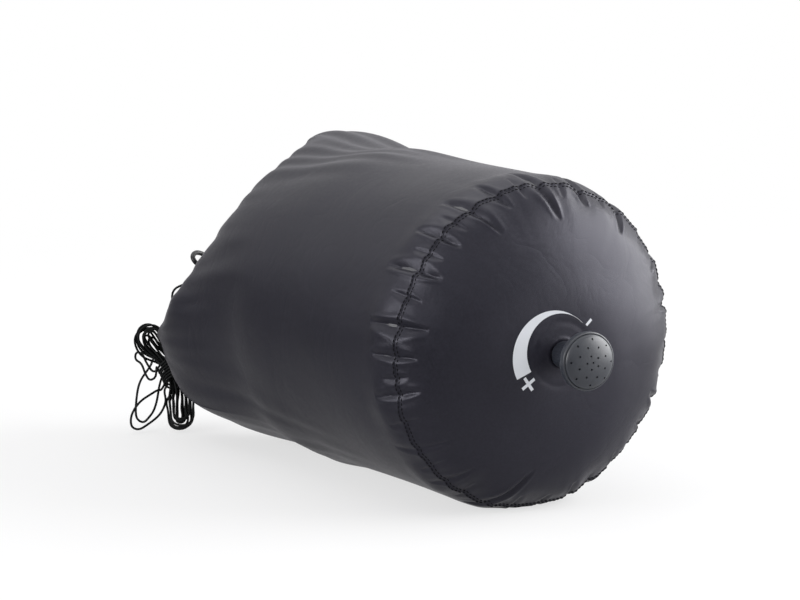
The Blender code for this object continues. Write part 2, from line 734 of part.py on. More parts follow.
def buckle_socket(parent):
    """A flat sleeve with a side window on each edge, open towards the plug."""
    low = (-SOCKET_MOUTH, -BUCKLE_HALF_WIDTH, -BUCKLE_HALF_THICKNESS)
    high = (BAR_OUTER, BUCKLE_HALF_WIDTH, BUCKLE_HALF_THICKNESS)
    obj = bevelled(box_object("buckle_socket", low, high), BUCKLE_EDGE)
    wide = SOCKET_CAVITY_HALF_WIDTH
    thick = SOCKET_CAVITY_HALF_THICKNESS
    cavity = box_object(
        "socket_cavity", (-SOCKET_MOUTH - OVERRUN, -wide, -thick), (SOCKET_DEPTH, wide, thick)
    )
    boolean(obj, cutter(cavity, parent), "DIFFERENCE")
    reach = BUCKLE_HALF_WIDTH + OVERRUN
    windows = box_object("socket_windows", (WINDOW_START, -reach, -thick), (WINDOW_END, reach, thick))
    boolean(obj, cutter(windows, parent), "DIFFERENCE")
    buckle_end(obj, 1, parent)
    return finish(obj, "moulded_plastic", parent)


def buckle_plug(parent):
    """The plug half: its bar end and the guide tongue that centres it in the socket."""
    base_face = -SOCKET_MOUTH - GAP
    low = (-BAR_OUTER, -BUCKLE_HALF_WIDTH, -BUCKLE_HALF_THICKNESS)
    high = (base_face, BUCKLE_HALF_WIDTH, BUCKLE_HALF_THICKNESS)
    obj = bevelled(box_object("buckle_plug", low, high), BUCKLE_EDGE)
    tongue = box_object(
        "plug_tongue",
        (base_face - OVERRUN, -TONGUE_HALF_WIDTH, -TONGUE_HALF_THICKNESS),
        (TONGUE_END, TONGUE_HALF_WIDTH, TONGUE_HALF_THICKNESS),
    )
    boolean(obj, cutter(tongue, parent), "UNION")
    buckle_end(obj, -1, parent)
    return finish(obj, "moulded_plastic", parent)


def buckle_prong(name, way, parent):
    """A spring arm of the plug: a slim arm, a shoulder behind the window's edge and a curved press face."""
    root = -SOCKET_MOUTH
    outer = PRONG_ROOT + PRONG_ARM_WIDTH
    outline = [
        (root, PRONG_ROOT),
        (PRONG_SHOULDER, PRONG_INNER),
        (PRONG_TIP, PRONG_INNER + PRONG_ARM_WIDTH / 2),
        (PRONG_TIP, PRONG_BUTTON_REACH - PRONG_ARM_WIDTH),
        ((PRONG_TIP + PRONG_SHOULDER) / 2, PRONG_BUTTON_REACH),
        (PRONG_SHOULDER, PRONG_BUTTON_REACH - PRONG_ARM_WIDTH / 2),
        (PRONG_SHOULDER, outer - PRONG_ARM_WIDTH / 4),
        (root, outer),
    ]
    hinge = empty(f"{name}_hinge", parent, Matrix.Translation((root, way * (PRONG_ROOT + outer) / 2, 0)))
    points = []
    for z in (-PRONG_HALF_THICKNESS, PRONG_HALF_THICKNESS):
        points += [(x - root, way * (y - (PRONG_ROOT + outer) / 2), z) for x, y in outline]
    count = len(outline)
    faces = grid_faces(2, count) + [tuple(range(count)), tuple(range(count, 2 * count))]
    obj = mesh_object(name, points, faces)
    return finish(obj, "moulded_plastic", hinge)


RING_TAB_BEND = RING_WIRE_RADIUS + GAP + WEBBING_THICKNESS / 2
RING_LIFT = WEBBING_BEND + WEBBING_THICKNESS / 2 + GAP + WEBBING_THICKNESS / 2 + RING_TAB_BEND
RING_CENTRE = (RING_PLACE, RING_SLIDE, RING_LIFT)


def ring_tab(parent):
    """A short webbing loop round the ring's straight side, sewn down on the tab beneath it."""
    low = RING_LIFT - RING_TAB_BEND
    start = RING_PLACE - RING_TAB_LENGTH
    path = [(start, low), *arc((RING_PLACE, RING_LIFT), RING_TAB_BEND, -90, 90, 7)]
    path += [(RING_PLACE - RING_TAB_BEND, RING_LIFT + RING_TAB_BEND / 2)]
    path += [(start + RING_TAB_BEND, low + WEBBING_THICKNESS + GAP), (start, low + WEBBING_THICKNESS + GAP)]
    return band("ring_tab", path, RING_TAB_HALF_WIDTH, "webbing", parent)


def ring_line():
    """The ring's middle line in its own frame: the straight side along y, the bow reaching out along x."""
    side = [(0.0, RING_HALF_WIDTH - RING_CORNER)]
    side += arc((RING_CORNER, RING_HALF_WIDTH - RING_CORNER), RING_CORNER, 150, 90, 3)
    reach = RING_REACH - RING_CORNER
    side += [
        (RING_CORNER + reach * math.sin(t), RING_HALF_WIDTH * math.cos(t))
        for t in np.linspace(math.radians(15), math.radians(90), 6)
    ]
    return side + [(x, -y) for x, y in side[-2::-1]]


def ring_back_reach():
    """How far behind the base seam the ring's wire reaches."""
    x, y = np.array(ring_line()).T
    spots = np.stack([x * math.cos(RING_TILT), y, x * math.sin(RING_TILT)], axis=1) + RING_CENTRE
    places = BUCKLE_PLACE + spots @ np.stack([ACROSS, -LOOP_WIDTH, LOOP_RISE])
    return places[:, 1].max() + RING_WIRE_RADIUS


def d_ring(parent):
    """A moulded ring: a straight side on its hinge line and a bow that stands out behind the strip."""
    tilt = Matrix.Rotation(-RING_TILT, 4, "Y")
    hinge = empty("d_ring_hinge", parent, Matrix.Translation(RING_CENTRE) @ tilt)
    line = ring_line()
    curve = bpy.data.curves.new("d_ring", "CURVE")
    curve.dimensions = "3D"
    curve.bevel_depth = RING_WIRE_RADIUS
    curve.bevel_resolution = 2
    spline = curve.splines.new("POLY")
    spline.points.add(len(line) - 1)
    for point, (x, y) in zip(spline.points, line):
        point.co = (x, y, 0, 1)
    spline.use_cyclic_u = True
    obj = bpy.data.objects.new("d_ring", curve)
    return finish(obj, "moulded_plastic", hinge)


# Cord

def smooth_curve(route, count):
    """Points evenly spread along a natural cubic spline through the route."""
    route = np.array(route, float)
    size = len(route)
    marks = np.concatenate([[0.0], np.cumsum(np.linalg.norm(np.diff(route, axis=0), axis=1))])
    gaps = np.diff(marks)[:, None]
    slopes = np.diff(route, axis=0) / gaps
    matrix = np.eye(size)
    right = np.zeros_like(route)
    inner = np.arange(1, size - 1)
    matrix[inner, inner - 1] = gaps[:-1, 0]
    matrix[inner, inner] = 2 * (gaps[:-1, 0] + gaps[1:, 0])
    matrix[inner, inner + 1] = gaps[1:, 0]
    right[1:-1] = 6 * np.diff(slopes, axis=0)
    bends = np.linalg.solve(matrix, right)
    spot = np.linspace(0, marks[-1], count)
    part = np.clip(np.searchsorted(marks, spot, side="right") - 1, 0, size - 2)
    past = (spot - marks[part])[:, None]
    step = gaps[part]
    linear = slopes[part] - step * (2 * bends[part] + bends[part + 1]) / 6
    cubic = (bends[part + 1] - bends[part]) / (6 * step)
    return route[part] + linear * past + bends[part] * past**2 / 2 + cubic * past**3


def resampled(points, step):
    """Points an even step apart along a line of points."""
    marks = np.concatenate([[0.0], np.cumsum(np.linalg.norm(np.diff(points, axis=0), axis=1))])
    spot = np.linspace(0, marks[-1], max(int(round(marks[-1] / step)), 1) + 1)
    return np.stack([np.interp(spot, marks, points[:, axis]) for axis in range(3)], axis=1)


def least_gap(points):
    """The smallest air gap between parts of a cord that are not neighbours along it."""
    fine = resampled(points, GAP_SAMPLE)
    skip = int(GAP_NEIGHBOUR / GAP_SAMPLE)
    least = min(
        np.linalg.norm(fine[skip:] - fine[: len(fine) - skip], axis=1).min(),
        *(
            np.linalg.norm(fine[i + skip :] - fine[i], axis=1).min()
            for i in range(0, len(fine) - skip - 1)
        ),
    )
    return least - CORD_DIAMETER


def cord_length(points):
    return np.linalg.norm(np.diff(points, axis=0), axis=1).sum()


def cord_tube(name, points, sides_level, parent):
    """A round cord through points measured from the seam's middle in x and y and from the floor in z."""
    curve = bpy.data.curves.new(name, "CURVE")
    curve.dimensions = "3D"
    curve.bevel_depth = CORD_DIAMETER / 2
    curve.bevel_resolution = sides_level
    curve.use_fill_caps = True
    spline = curve.splines.new("POLY")
    spline.points.add(len(points) - 1)
    for point, (x, y, z) in zip(spline.points, points):
        point.co = (x, y, z - AXIS_HEIGHT, 1)
    obj = bpy.data.objects.new(name, curve)
    gap = least_gap(points) * 1000
    print(f"{name}: length {cord_length(points):.3f} m, least gap to itself {gap:.2f} mm")
    return finish(obj, "cord", parent)


def hank_loops():
    """One cord wound in flat spirals, in and out by turns, each spiral a layer: (along, across, towards)."""
    turn = HANK_START_SHARE + np.arange(int(round(HANK_LOOPS_SHARE * POINTS_A_LOOP)) + 1) / POINTS_A_LOOP
    spiral = HANK_SPIRAL_SHARE

    def nest(place):
        return np.abs((place / spiral + 1) % 2 - 1) * spiral

    depth = nest(np.maximum(turn, 0))
    change = np.round(turn / spiral)
    climb = smoothstep((turn - change * spiral) / HANK_CLIMB_SHARE + 1 / 2)
    layer = np.clip(change - 1 + climb, 0, HANK_LAYERS - 1) - (HANK_LAYERS - 1) / 2

    end_points = POINTS_A_LOOP // 2 - POINTS_A_RUN
    first = end_points / 2
    count = (turn % 1) * POINTS_A_LOOP
    down = (count >= first) & (count < first + POINTS_A_RUN)
    bottom = (count >= first + POINTS_A_RUN) & (count < first + POINTS_A_RUN + end_points)
    up = (count >= first + POINTS_A_RUN + end_points) & (count < POINTS_A_LOOP - first)
    bow = math.pi / end_points
    around = np.where(count < first, math.pi / 2 + count * bow, math.pi / 2 - (POINTS_A_LOOP - count) * bow)
    around = np.where(bottom, (count - first - POINTS_A_RUN) * bow, around)
    side = np.where(down, -1, np.where(up, 1, np.where(bottom, -np.cos(around), np.cos(around))))
    run_share = np.where(down, (count - first) / POINTS_A_RUN, 0.0)
    run_share = np.where(bottom, 1.0, run_share)
    run_share = np.where(up, 1 - (count - first - POINTS_A_RUN - end_points) / POINTS_A_RUN, run_share)
    past_end = np.where(down | up, 0.0, np.sin(around)) * np.where(bottom, 1, -1)

    along = HANK_TOP + HANK_TOP_PITCH * HANK_WIDTH_SHARE + run_share * HANK_RUN
    waist = smoothstep((HANK_WAIST_HALF + HANK_WAIST_RAMP - np.abs(along - HANK_WAIST)) / HANK_WAIST_RAMP)
    open_pitch = HANK_TOP_PITCH + (HANK_BOTTOM_PITCH - HANK_TOP_PITCH) * run_share
    pitch = open_pitch * (1 - waist) + HANK_WAIST_PITCH * waist
    half_width = pitch * (HANK_WIDTH_SHARE - depth)
    along = along + past_end * half_width
    layer_step = HANK_LAYER_STEP * (1 - waist) + HANK_WAIST_LAYER_STEP * waist
    middle = np.floor(turn) + np.where(turn % 1 < 1 / 2, 1 / 4, 3 / 4)
    zigzag = HANK_WAIST_ZIGZAG * waist * np.sign(np.sin(math.pi * nest(middle)))
    return np.stack([along, half_width * side, layer * layer_step + zigzag], axis=1)


def hank_wraps(last):
    """The same cord rises out of its layer and winds round the drawn-in waist."""
    step = np.arange(1, int(WRAP_TURNS_SHARE * POINTS_A_WRAP) + 1)
    rise = np.minimum(step / 2, 1)
    across = last[1] * (1 - np.minimum(step, 1))
    towards = last[2] + (WRAP_RADIUS - last[2]) * rise
    wound = np.maximum(step - 2, 0) / POINTS_A_WRAP
    place = np.arctan2(towards, across) + wound * math.tau
    radius = np.hypot(across, towards)
    along = last[0] + WRAP_LEAD * rise + wound * WRAP_PITCH
    return np.stack([along, radius * np.cos(place), radius * np.sin(place)], axis=1)


def hank_points():
    """Carries the hank from its own frame onto its leaning middle line."""
    flat = hank_loops()
    flat = np.concatenate([flat, hank_wraps(flat[-1])])
    middle = smooth_curve(HANK_ROUTE, 200)
    marks = np.concatenate([[0.0], np.cumsum(np.linalg.norm(np.diff(middle, axis=0), axis=1))])
    tangent = np.gradient(middle, marks, axis=0)
    spot = np.clip(flat[:, 0], 0, marks[-1])
    beyond = (flat[:, 0] - spot)[:, None]
    centre = np.stack([np.interp(spot, marks, middle[:, axis]) for axis in range(3)], axis=1)
    forward = np.stack([np.interp(spot, marks, tangent[:, axis]) for axis in range(3)], axis=1)
    forward /= np.linalg.norm(forward, axis=1)[:, None]
    facing = np.array(HANK_FACING)
    across = np.cross(facing, forward)
    across /= np.linalg.norm(across, axis=1)[:, None]
    across *= np.sign(across[:, :1])
    towards = np.cross(forward, across)
    towards *= np.sign(towards @ facing)[:, None]
    return centre + beyond * forward + flat[:, 1:2] * across + flat[:, 2:] * towards


def cord_hank(parent):
    return cord_tube("cord_hank", hank_points(), 1, parent)


def joined(start, towards, gap):
    """The first two points of a cord that carries on face to face from another's end."""
    direction = (start - towards) / np.linalg.norm(start - towards)
    return [start + direction * gap, start + direction * (gap + CORD_DIAMETER)]


def cord_tail(parent):
    """The loose bights below the hank, carried on from the end of its wraps."""
    hank = hank_points()
    route = joined(hank[-1], hank[-2], GAP) + [np.array(p) for p in TAIL_ROUTE]
    points = smooth_curve(route, 400)
    return cord_tube("cord_tail", resampled(points, TAIL_STEP), 2, parent)


def tie_frame():
    """Where the cord is tied to the ring: the wire's middle, the pull to the hank, the side of the turn."""
    tilt = np.array([math.cos(RING_TILT), 0.0, math.sin(RING_TILT)]) * RING_REACH
    spot = np.array(RING_CENTRE) + tilt
    axes = np.stack([ACROSS, -LOOP_WIDTH, LOOP_RISE])
    centre = BUCKLE_PLACE + spot @ axes + np.array([0.0, 0.0, AXIS_HEIGHT])
    pull = np.array(LEAD_ROUTE[0]) - centre
    pull -= (pull @ LOOP_WIDTH) * LOOP_WIDTH
    pull /= np.linalg.norm(pull)
    return centre, pull, np.cross(LOOP_WIDTH, pull)


def cord_lead(parent):
    """The cord's first stretch: round the ring's bow, through the ferrule and over to the hank."""
    centre, pull, side = tie_frame()
    turn = RING_WIRE_RADIUS + 2 * GAP + CORD_DIAMETER / 2
    close = CORD_DIAMETER / 2 + GAP
    end = FERRULE_START + FERRULE_LENGTH + CORD_DIAMETER
    short = [centre + pull * end + side * close, centre + pull * FERRULE_START + side * close]
    around = [
        centre - pull * math.cos(t) * turn + side * math.sin(t) * turn
        for t in np.linspace(math.radians(75), math.radians(-75), 9)
    ]
    held = [FERRULE_START, FERRULE_START + FERRULE_LENGTH / 2, end]
    straight = held + [end + CORD_DIAMETER, end + 2 * CORD_DIAMETER]
    long = [centre + pull * past - side * close for past in straight]
    hank = hank_points()
    last = joined(hank[0], hank[1], GAP)[::-1]
    path = resampled(np.array(short), TIE_STEP)
    route = [*long, *[np.array(p) for p in LEAD_ROUTE], *last]
    rest = resampled(smooth_curve(route, 200), LEAD_STEP)
    return cord_tube("cord_lead", np.concatenate([path, np.array(around), rest]), 2, parent)


def cord_ferrule(parent):
    """A moulded sleeve that holds the two strands behind the ring side by side."""
    centre, pull, side = tie_frame()
    bore = CORD_DIAMETER / 2 + GAP
    apart = bore
    outer = bore + FERRULE_WALL
    rings = []
    for radius, reach in ((outer, 0.0), (outer, FERRULE_LENGTH), (bore, FERRULE_LENGTH), (bore, 0.0)):
        outline = arc((apart, 0.0), radius, -90, 90, 6) + arc((-apart, 0.0), radius, 90, 270, 6)
        start = centre + pull * (FERRULE_START + reach) - np.array([0.0, 0.0, AXIS_HEIGHT])
        rings.append([start + side * a + LOOP_WIDTH * b for a, b in outline])
    points = np.array(rings)
    faces = grid_faces(4, points.shape[1], close_rows=True)
    return finish(mesh_object("cord_ferrule", points.reshape(-1, 3), faces), "moulded_plastic", parent)


# Outlet and valve: profiles are (radius, height outwards from the seam)

FLANGE_TOP = BASE_BULGE - FABRIC_WALL - GAP - GASKET_THICKNESS - GAP
FLANGE_BOTTOM = FLANGE_TOP - FLANGE_THICKNESS
NECK_END = BASE_BULGE + NECK_LENGTH
DISC_BOTTOM = NECK_END + GAP + SEAL_THICKNESS + GAP
DISC_TOP = DISC_BOTTOM + DISC_THICKNESS
BOSS_BOTTOM = DISC_TOP + DISC_TO_BOSS


def outlet_body(parent):
    """Flange inside the base, a neck through it, a seal groove outside and two keyways in the bore."""
    groove = BASE_BULGE + ORING_GROOVE_START
    profile = [
        (NECK_BORE, NECK_END),
        (NECK_RADIUS, NECK_END),
        (NECK_RADIUS, groove + ORING_GROOVE_WIDTH),
        (NECK_RADIUS - ORING_GROOVE_DEPTH, groove + ORING_GROOVE_WIDTH),
        (NECK_RADIUS - ORING_GROOVE_DEPTH, groove),
        (NECK_RADIUS, groove),
        (NECK_RADIUS, FLANGE_TOP),
        (FLANGE_RADIUS, FLANGE_TOP),
        (FLANGE_RADIUS, FLANGE_BOTTOM),
        (NECK_BORE, FLANGE_BOTTOM),
    ]
    obj = turned("outlet_body", profile, "moulded_plastic", parent)
    wide = VANE_THICKNESS / 2 + GAP
    keyway = box_object(
        "neck_keyways",
        (-KEYWAY_REACH, -BASE_BULGE - KEYWAY_END, -wide),
        (KEYWAY_REACH, -FLANGE_BOTTOM + OVERRUN, wide),
    )
    boolean(obj, cutter(keyway, parent), "DIFFERENCE")
    return obj


def ring_profile(inner, outer, bottom, top):
    return [(inner, top), (outer, top), (outer, bottom), (inner, bottom)]


def flange_gasket(parent):
    bottom = FLANGE_TOP + GAP
    profile = ring_profile(NECK_RADIUS + GAP, FLANGE_RADIUS - GASKET_EDGE, bottom, bottom + GASKET_THICKNESS)
    return turned("flange_gasket", profile, "seal_rubber", parent)


def neck_oring(parent):
    """The seal between neck and sleeve, seated in the neck's groove."""
    middle = BASE_BULGE + ORING_GROOVE_START + ORING_GROOVE_WIDTH / 2
    centre = NECK_RADIUS - ORING_GROOVE_DEPTH + GAP + ORING_CORD / 2
    profile = arc((centre, middle), ORING_CORD / 2, 90, -210, 6)
    return turned("neck_oring", profile, "seal_rubber", parent)


def stopper(parent):
    """The valve plunger: tip, sealing disc and stem, with four guide vanes, two of them keyed."""
    tip_top = DISC_TOP + TIP_LENGTH
    stem_end = BASE_BULGE - OVERRUN
    profile = [
        (0.0, tip_top),
        (TIP_RADIUS, tip_top),
        (TIP_RADIUS, DISC_TOP),
        (DISC_RADIUS, DISC_TOP),
        (DISC_RADIUS, DISC_BOTTOM),
        (STEM_RADIUS, DISC_BOTTOM),
        (STEM_RADIUS, stem_end),
        (0.0, stem_end),
    ]
    obj = turned("stopper", profile, "moulded_plastic", parent, steps=TURNED_STEPS, closed=False)
    thick = VANE_THICKNESS / 2
    guide = NECK_BORE - GAP
    key = KEYWAY_REACH - GAP
    inner = -BASE_BULGE - VANE_INNER_END + OVERRUN
    outer = -BASE_BULGE - VANE_OUTER_END
    vanes = [
        box_object("stopper_vane_upright", (-thick, outer, -guide), (thick, inner, guide)),
        box_object("stopper_vane_level", (-guide, outer, -thick), (guide, inner, thick)),
        box_object("stopper_keys", (-key, -BASE_BULGE - KEY_OUTER_END, -thick), (key, inner, thick)),
    ]
    for vane in vanes:
        boolean(obj, cutter(vane, parent), "UNION")
    return obj


def stopper_seal(parent):
    bottom = NECK_END + GAP
    profile = ring_profile(STEM_RADIUS + GAP, DISC_RADIUS, bottom, bottom + SEAL_THICKNESS)
    return turned("stopper_seal", profile, "seal_rubber", parent)


def stopper_clip(parent):
    bottom = BOSS_BOTTOM + BOSS_LIP + GAP
    profile = ring_profile(TIP_RADIUS + GAP, CLIP_RADIUS, bottom, bottom + CLIP_THICKNESS)
    return turned("stopper_clip", profile, "moulded_plastic", parent, steps=FINE_STEPS)


HEAD_SEAT = BASE_BULGE + HEAD_RIM_START
ROSE_EDGE = HEAD_RADIUS - HEAD_RIM_WIDTH - GAP
ROSE_BOTTOM = HEAD_SEAT + HEAD_WALL + GAP


def head_shell(parent):
    """The mushroom head: a sleeve over the neck that flares to a rounded rim round the rose's seat."""
    sleeve_bore = NECK_RADIUS + GAP
    bottom = BASE_BULGE + SLEEVE_START
    top = bottom + SLEEVE_LENGTH
    rim_top = HEAD_SEAT + HEAD_WALL + HEAD_RIM_DEPTH
    flare = HEAD_RADIUS - SLEEVE_RADIUS
    rise = HEAD_SEAT - top
    inside = HEAD_RADIUS - HEAD_RIM_WIDTH
    seat = inside - ROSE_RIM_WIDTH
    profile = [
        (inside, rim_top),
        (HEAD_RADIUS - HEAD_RIM_ROUND, rim_top),
        (HEAD_RADIUS - HEAD_RIM_ROUND / 4, rim_top - HEAD_RIM_ROUND / 3),
        (HEAD_RADIUS, rim_top - HEAD_RIM_ROUND),
        (HEAD_RADIUS, HEAD_SEAT + HEAD_RIM_ROUND / 2),
        *[(HEAD_RADIUS - flare * wide, HEAD_SEAT - rise * low) for wide, low in HEAD_FLARE_SHARES],
        (SLEEVE_RADIUS, top - HEAD_RIM_ROUND),
        (SLEEVE_RADIUS, bottom),
        (sleeve_bore, bottom),
        (sleeve_bore, top + HEAD_WALL),
        (seat - flare * HEAD_HOLLOW_SHARES[0], HEAD_SEAT - rise * HEAD_HOLLOW_SHARES[1]),
        (seat, HEAD_SEAT + HEAD_WALL / 2),
        (seat, HEAD_SEAT + HEAD_WALL),
        (inside, HEAD_SEAT + HEAD_WALL),
    ]
    return turned("head_shell", profile, "head_plastic", parent, steps=HEAD_STEPS)


def rose_plate(parent):
    """The domed spray plate, with the pocket behind it that turns on the stopper's tip."""
    rim_top = ROSE_BOTTOM + ROSE_RIM_DEPTH
    inner_edge = ROSE_EDGE - ROSE_RIM_WIDTH
    outer = [
        (radius, rim_top + ROSE_DOME * (1 - (radius / ROSE_EDGE) ** 2))
        for radius in np.linspace(0, ROSE_EDGE, 6)
    ]
    inner_rise = ROSE_DOME * (1 - (inner_edge / ROSE_EDGE) ** 2)
    inner = [
        (radius, rim_top + ROSE_DOME * (1 - (radius / ROSE_EDGE) ** 2) - ROSE_THICKNESS)
        for radius in np.linspace(inner_edge, BOSS_RADIUS, 4)
    ]
    inner[0] = (inner_edge, rim_top + inner_rise - ROSE_THICKNESS)
    pocket_top = rim_top + ROSE_DOME - ROSE_THICKNESS
    boss = [
        (BOSS_RADIUS, BOSS_BOTTOM),
        (TIP_RADIUS + GAP, BOSS_BOTTOM),
        (TIP_RADIUS + GAP, BOSS_BOTTOM + BOSS_LIP),
        (BOSS_POCKET_RADIUS, BOSS_BOTTOM + BOSS_LIP),
        (BOSS_POCKET_RADIUS, pocket_top),
        (0.0, pocket_top),
    ]
    profile = outer + [(ROSE_EDGE, ROSE_BOTTOM), (inner_edge, ROSE_BOTTOM)] + inner + boss
    obj = turned("rose_plate", profile, "head_plastic", parent, steps=HEAD_STEPS, closed=False)
    top = rim_top + ROSE_DOME + OVERRUN
    bottom = ROSE_BOTTOM
    spots = [(0.0, 0.0, pocket_top - OVERRUN)]
    for radius, count, start in zip(SPRAY_RING_RADII, SPRAY_RING_COUNTS, SPRAY_RING_TURNS):
        turns = [start + k * math.tau / count for k in range(count)]
        spots += [(radius * math.cos(t), radius * math.sin(t), bottom) for t in turns]
    work = bmesh.new()
    for x, z, low in spots:
        middle = Matrix.Translation((x, -(top + low) / 2, z)) @ Matrix.Rotation(math.pi / 2, 4, "X")
        bmesh.ops.create_cone(
            work,
            cap_ends=True,
            segments=SPRAY_SIDES,
            radius1=SPRAY_HOLE_RADIUS,
            radius2=SPRAY_HOLE_RADIUS,
            depth=top - low,
            matrix=middle,
        )
    mesh = bpy.data.meshes.new("spray_holes")
    work.to_mesh(mesh)
    work.free()
    boolean(obj, cutter(bpy.data.objects.new("spray_holes", mesh), parent), "DIFFERENCE")
    return obj


# Assembly

clear_scene()
PARTS = new_collection("camp_shower_bag")
CUTTERS = new_collection("cutters")

SKIN = tube_points(stations(), full_turn(), 0.0, BODY_LENGTH, EAR_REACH)
FRONT_REACH = ROSE_BOTTOM + ROSE_RIM_DEPTH + ROSE_DOME
BACK_REACH = ring_back_reach()
SEAM_Y = (FRONT_REACH - BACK_REACH) / 2
AXIS_X = -(SKIN[..., 0].max() + SKIN[..., 0].min()) / 2

seam_centre = empty("seam_centre", None, Matrix.Translation((AXIS_X, SEAM_Y, AXIS_HEIGHT)))

bag_body(seam_centre)
base_panel(seam_centre)
base_tape(seam_centre)
side_tape(seam_centre)
roll_top(seam_centre)
stiffener(seam_centre)

buckle_axes = Matrix((ACROSS, -LOOP_WIDTH, LOOP_RISE)).transposed().to_4x4()
buckle_frame = empty("buckle_frame", seam_centre, Matrix.Translation(BUCKLE_PLACE) @ buckle_axes)
webbing_tab("webbing_tab_socket", 1, buckle_frame)
webbing_tab("webbing_tab_plug", -1, buckle_frame)
buckle_socket(buckle_frame)
buckle_plug(buckle_frame)
buckle_prong("buckle_prong_upper", -1, buckle_frame)
buckle_prong("buckle_prong_lower", 1, buckle_frame)
ring_tab(buckle_frame)
d_ring(buckle_frame)

cord_lead(seam_centre)
cord_ferrule(seam_centre)
cord_hank(seam_centre)
cord_tail(seam_centre)

outlet_body(seam_centre)
flange_gasket(seam_centre)
neck_oring(seam_centre)
lift = empty("stopper_lift", seam_centre, Matrix.Identity(4))
stopper(lift)
stopper_seal(lift)
stopper_clip(lift)
head_turn = empty("head_turn", lift, Matrix.Identity(4))
head_shell(head_turn)
rose_plate(head_turn)
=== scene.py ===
"""Looks of the camp shower bag: puckered coated fabric, the valve, the rolled mouth and the cord.

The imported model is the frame. Local positions are measured from the middle of the base seam: x to the right,
y along the bag towards its mouth, z up. The bag's axis is level. Lengths are metres.
"""

import math

import bmesh
import bpy
import numpy as np
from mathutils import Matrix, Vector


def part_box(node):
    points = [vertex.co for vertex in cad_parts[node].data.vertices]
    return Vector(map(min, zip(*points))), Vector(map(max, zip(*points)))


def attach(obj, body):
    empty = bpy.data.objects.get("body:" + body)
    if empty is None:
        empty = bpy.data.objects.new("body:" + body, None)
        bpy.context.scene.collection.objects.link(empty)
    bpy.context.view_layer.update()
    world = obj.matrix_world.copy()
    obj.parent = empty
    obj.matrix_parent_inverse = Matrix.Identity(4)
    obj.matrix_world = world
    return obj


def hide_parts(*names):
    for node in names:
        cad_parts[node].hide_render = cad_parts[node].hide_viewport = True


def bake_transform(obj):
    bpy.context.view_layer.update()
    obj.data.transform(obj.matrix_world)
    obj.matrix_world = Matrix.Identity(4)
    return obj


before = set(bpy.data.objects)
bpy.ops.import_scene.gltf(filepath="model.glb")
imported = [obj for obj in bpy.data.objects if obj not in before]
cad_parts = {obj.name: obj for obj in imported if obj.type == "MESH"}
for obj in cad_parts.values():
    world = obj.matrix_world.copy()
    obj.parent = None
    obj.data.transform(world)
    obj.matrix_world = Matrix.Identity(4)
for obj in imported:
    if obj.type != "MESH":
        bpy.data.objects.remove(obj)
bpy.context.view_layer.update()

# The frame's own places
AXIS_HEIGHT = sum(corner[2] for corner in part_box("head_shell")) / 2
SEAM = np.array([0.0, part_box("bag_body")[0][1], AXIS_HEIGHT])

# Sizes repeated from the model: tube and mouth
SEAM_RADIUS = 0.100
BODY_RADIUS = 0.107
BODY_LENGTH = 0.3257
SWELL_LENGTH = 0.030
SHOULDER_START = 0.1506
MOUTH_HALF_BAND = 0.008
MOUTH_TILT = math.radians(47.46)
MOUTH_OFFSET = 0.0287
MOUTH_SHIFT = -0.0047
MOUTH_LEAN = math.radians(7.37)
EAR_REACH = 0.1555
UPPER_FULLNESS_SHARE = 2.151
LOWER_FULLNESS_SHARE = 3.378
EAR_START_SHARE = 0.34
CREASE_START_SHARE = 0.057
BEND_START_SHARE = 0.358
EAR_FAN_SHARE = 0.6
EAR_TURN_LIMIT = 2.9
TINY_SHARE = 0.00001
SEAM_OVAL_SHARE = 0.021
SEAM_OVAL_TURN = math.radians(66.2)
SEAM_OVAL_FADE = 0.060
SAG_DEPTH = 0.0065
SAG_START_SHARE = 0.35
GAP = 0.0003

# Roll and its carry loop
LOOP_RADIUS = 0.0331
LOOP_SLACK = 0.0010
LOOP_LIFT = 0.0004
ROLL_HALF_LENGTH = 0.1453
ROLL_END_PLACE = 0.0363
ROLL_SHEET = 0.0010
ROLL_PITCH = 0.00145
ROLL_HALF_FLAT = 0.0097
STIFFENER_THICKNESS = 0.0010
BUCKLE_SHIFT = 0.0080

# Base panel and valve
BASE_BULGE = 0.036
BASE_FLAT_RADIUS = 0.0215
BASE_DOME_SHARE = 0.62
NECK_RADIUS = 0.0072
SLEEVE_RADIUS = 0.0085
SLEEVE_START = 0.0015
SLEEVE_LENGTH = 0.0180
HEAD_RADIUS = 0.01875
HEAD_RIM_START = 0.0276
HEAD_RIM_WIDTH = 0.0011
HEAD_RIM_DEPTH = 0.0036
HEAD_WALL = 0.0013
ROSE_DOME = 0.0058
ROSE_THICKNESS = 0.0015
ROSE_RIM_DEPTH = 0.0030
SPRAY_HOLE_RADIUS = 0.00065
SPRAY_RING_RADII = (0.0044, 0.0101, 0.0146)
SPRAY_RING_COUNTS = (5, 8, 8)
SPRAY_RING_TURNS = (math.radians(38.4), math.radians(19.8), math.radians(-2.8))

# Ring and cord
WEBBING_THICKNESS = 0.0012
BAR_HALF_THICKNESS = 0.0015
RING_WIRE_RADIUS = 0.00175
RING_FLAT_SHARE = 0.94
RING_HALF_WIDTH = 0.0140
RING_REACH = 0.0172
RING_CORNER = 0.0040
RING_PLACE = -0.0310
RING_SLIDE = -0.0030
RING_TILT = math.radians(49.0)
FERRULE_START = 0.0060
FERRULE_LENGTH = 0.0080
CORD_DIAMETER = 0.0015
HANK_FACING = (-0.4864, -0.8597, 0.1555)
HANK_ROUTE = (
    (-0.0820, 0.3950, 0.0685),
    (-0.0740, 0.3915, 0.0545),
    (-0.0655, 0.3830, 0.0400),
    (-0.0665, 0.3680, 0.0250),
    (-0.0740, 0.3520, 0.0112),
    (-0.0785, 0.3430, 0.0022),
)
HANK_TOP = 0.0000
HANK_RUN = 0.0720
HANK_TOP_PITCH = 0.0026
HANK_BOTTOM_PITCH = 0.00225
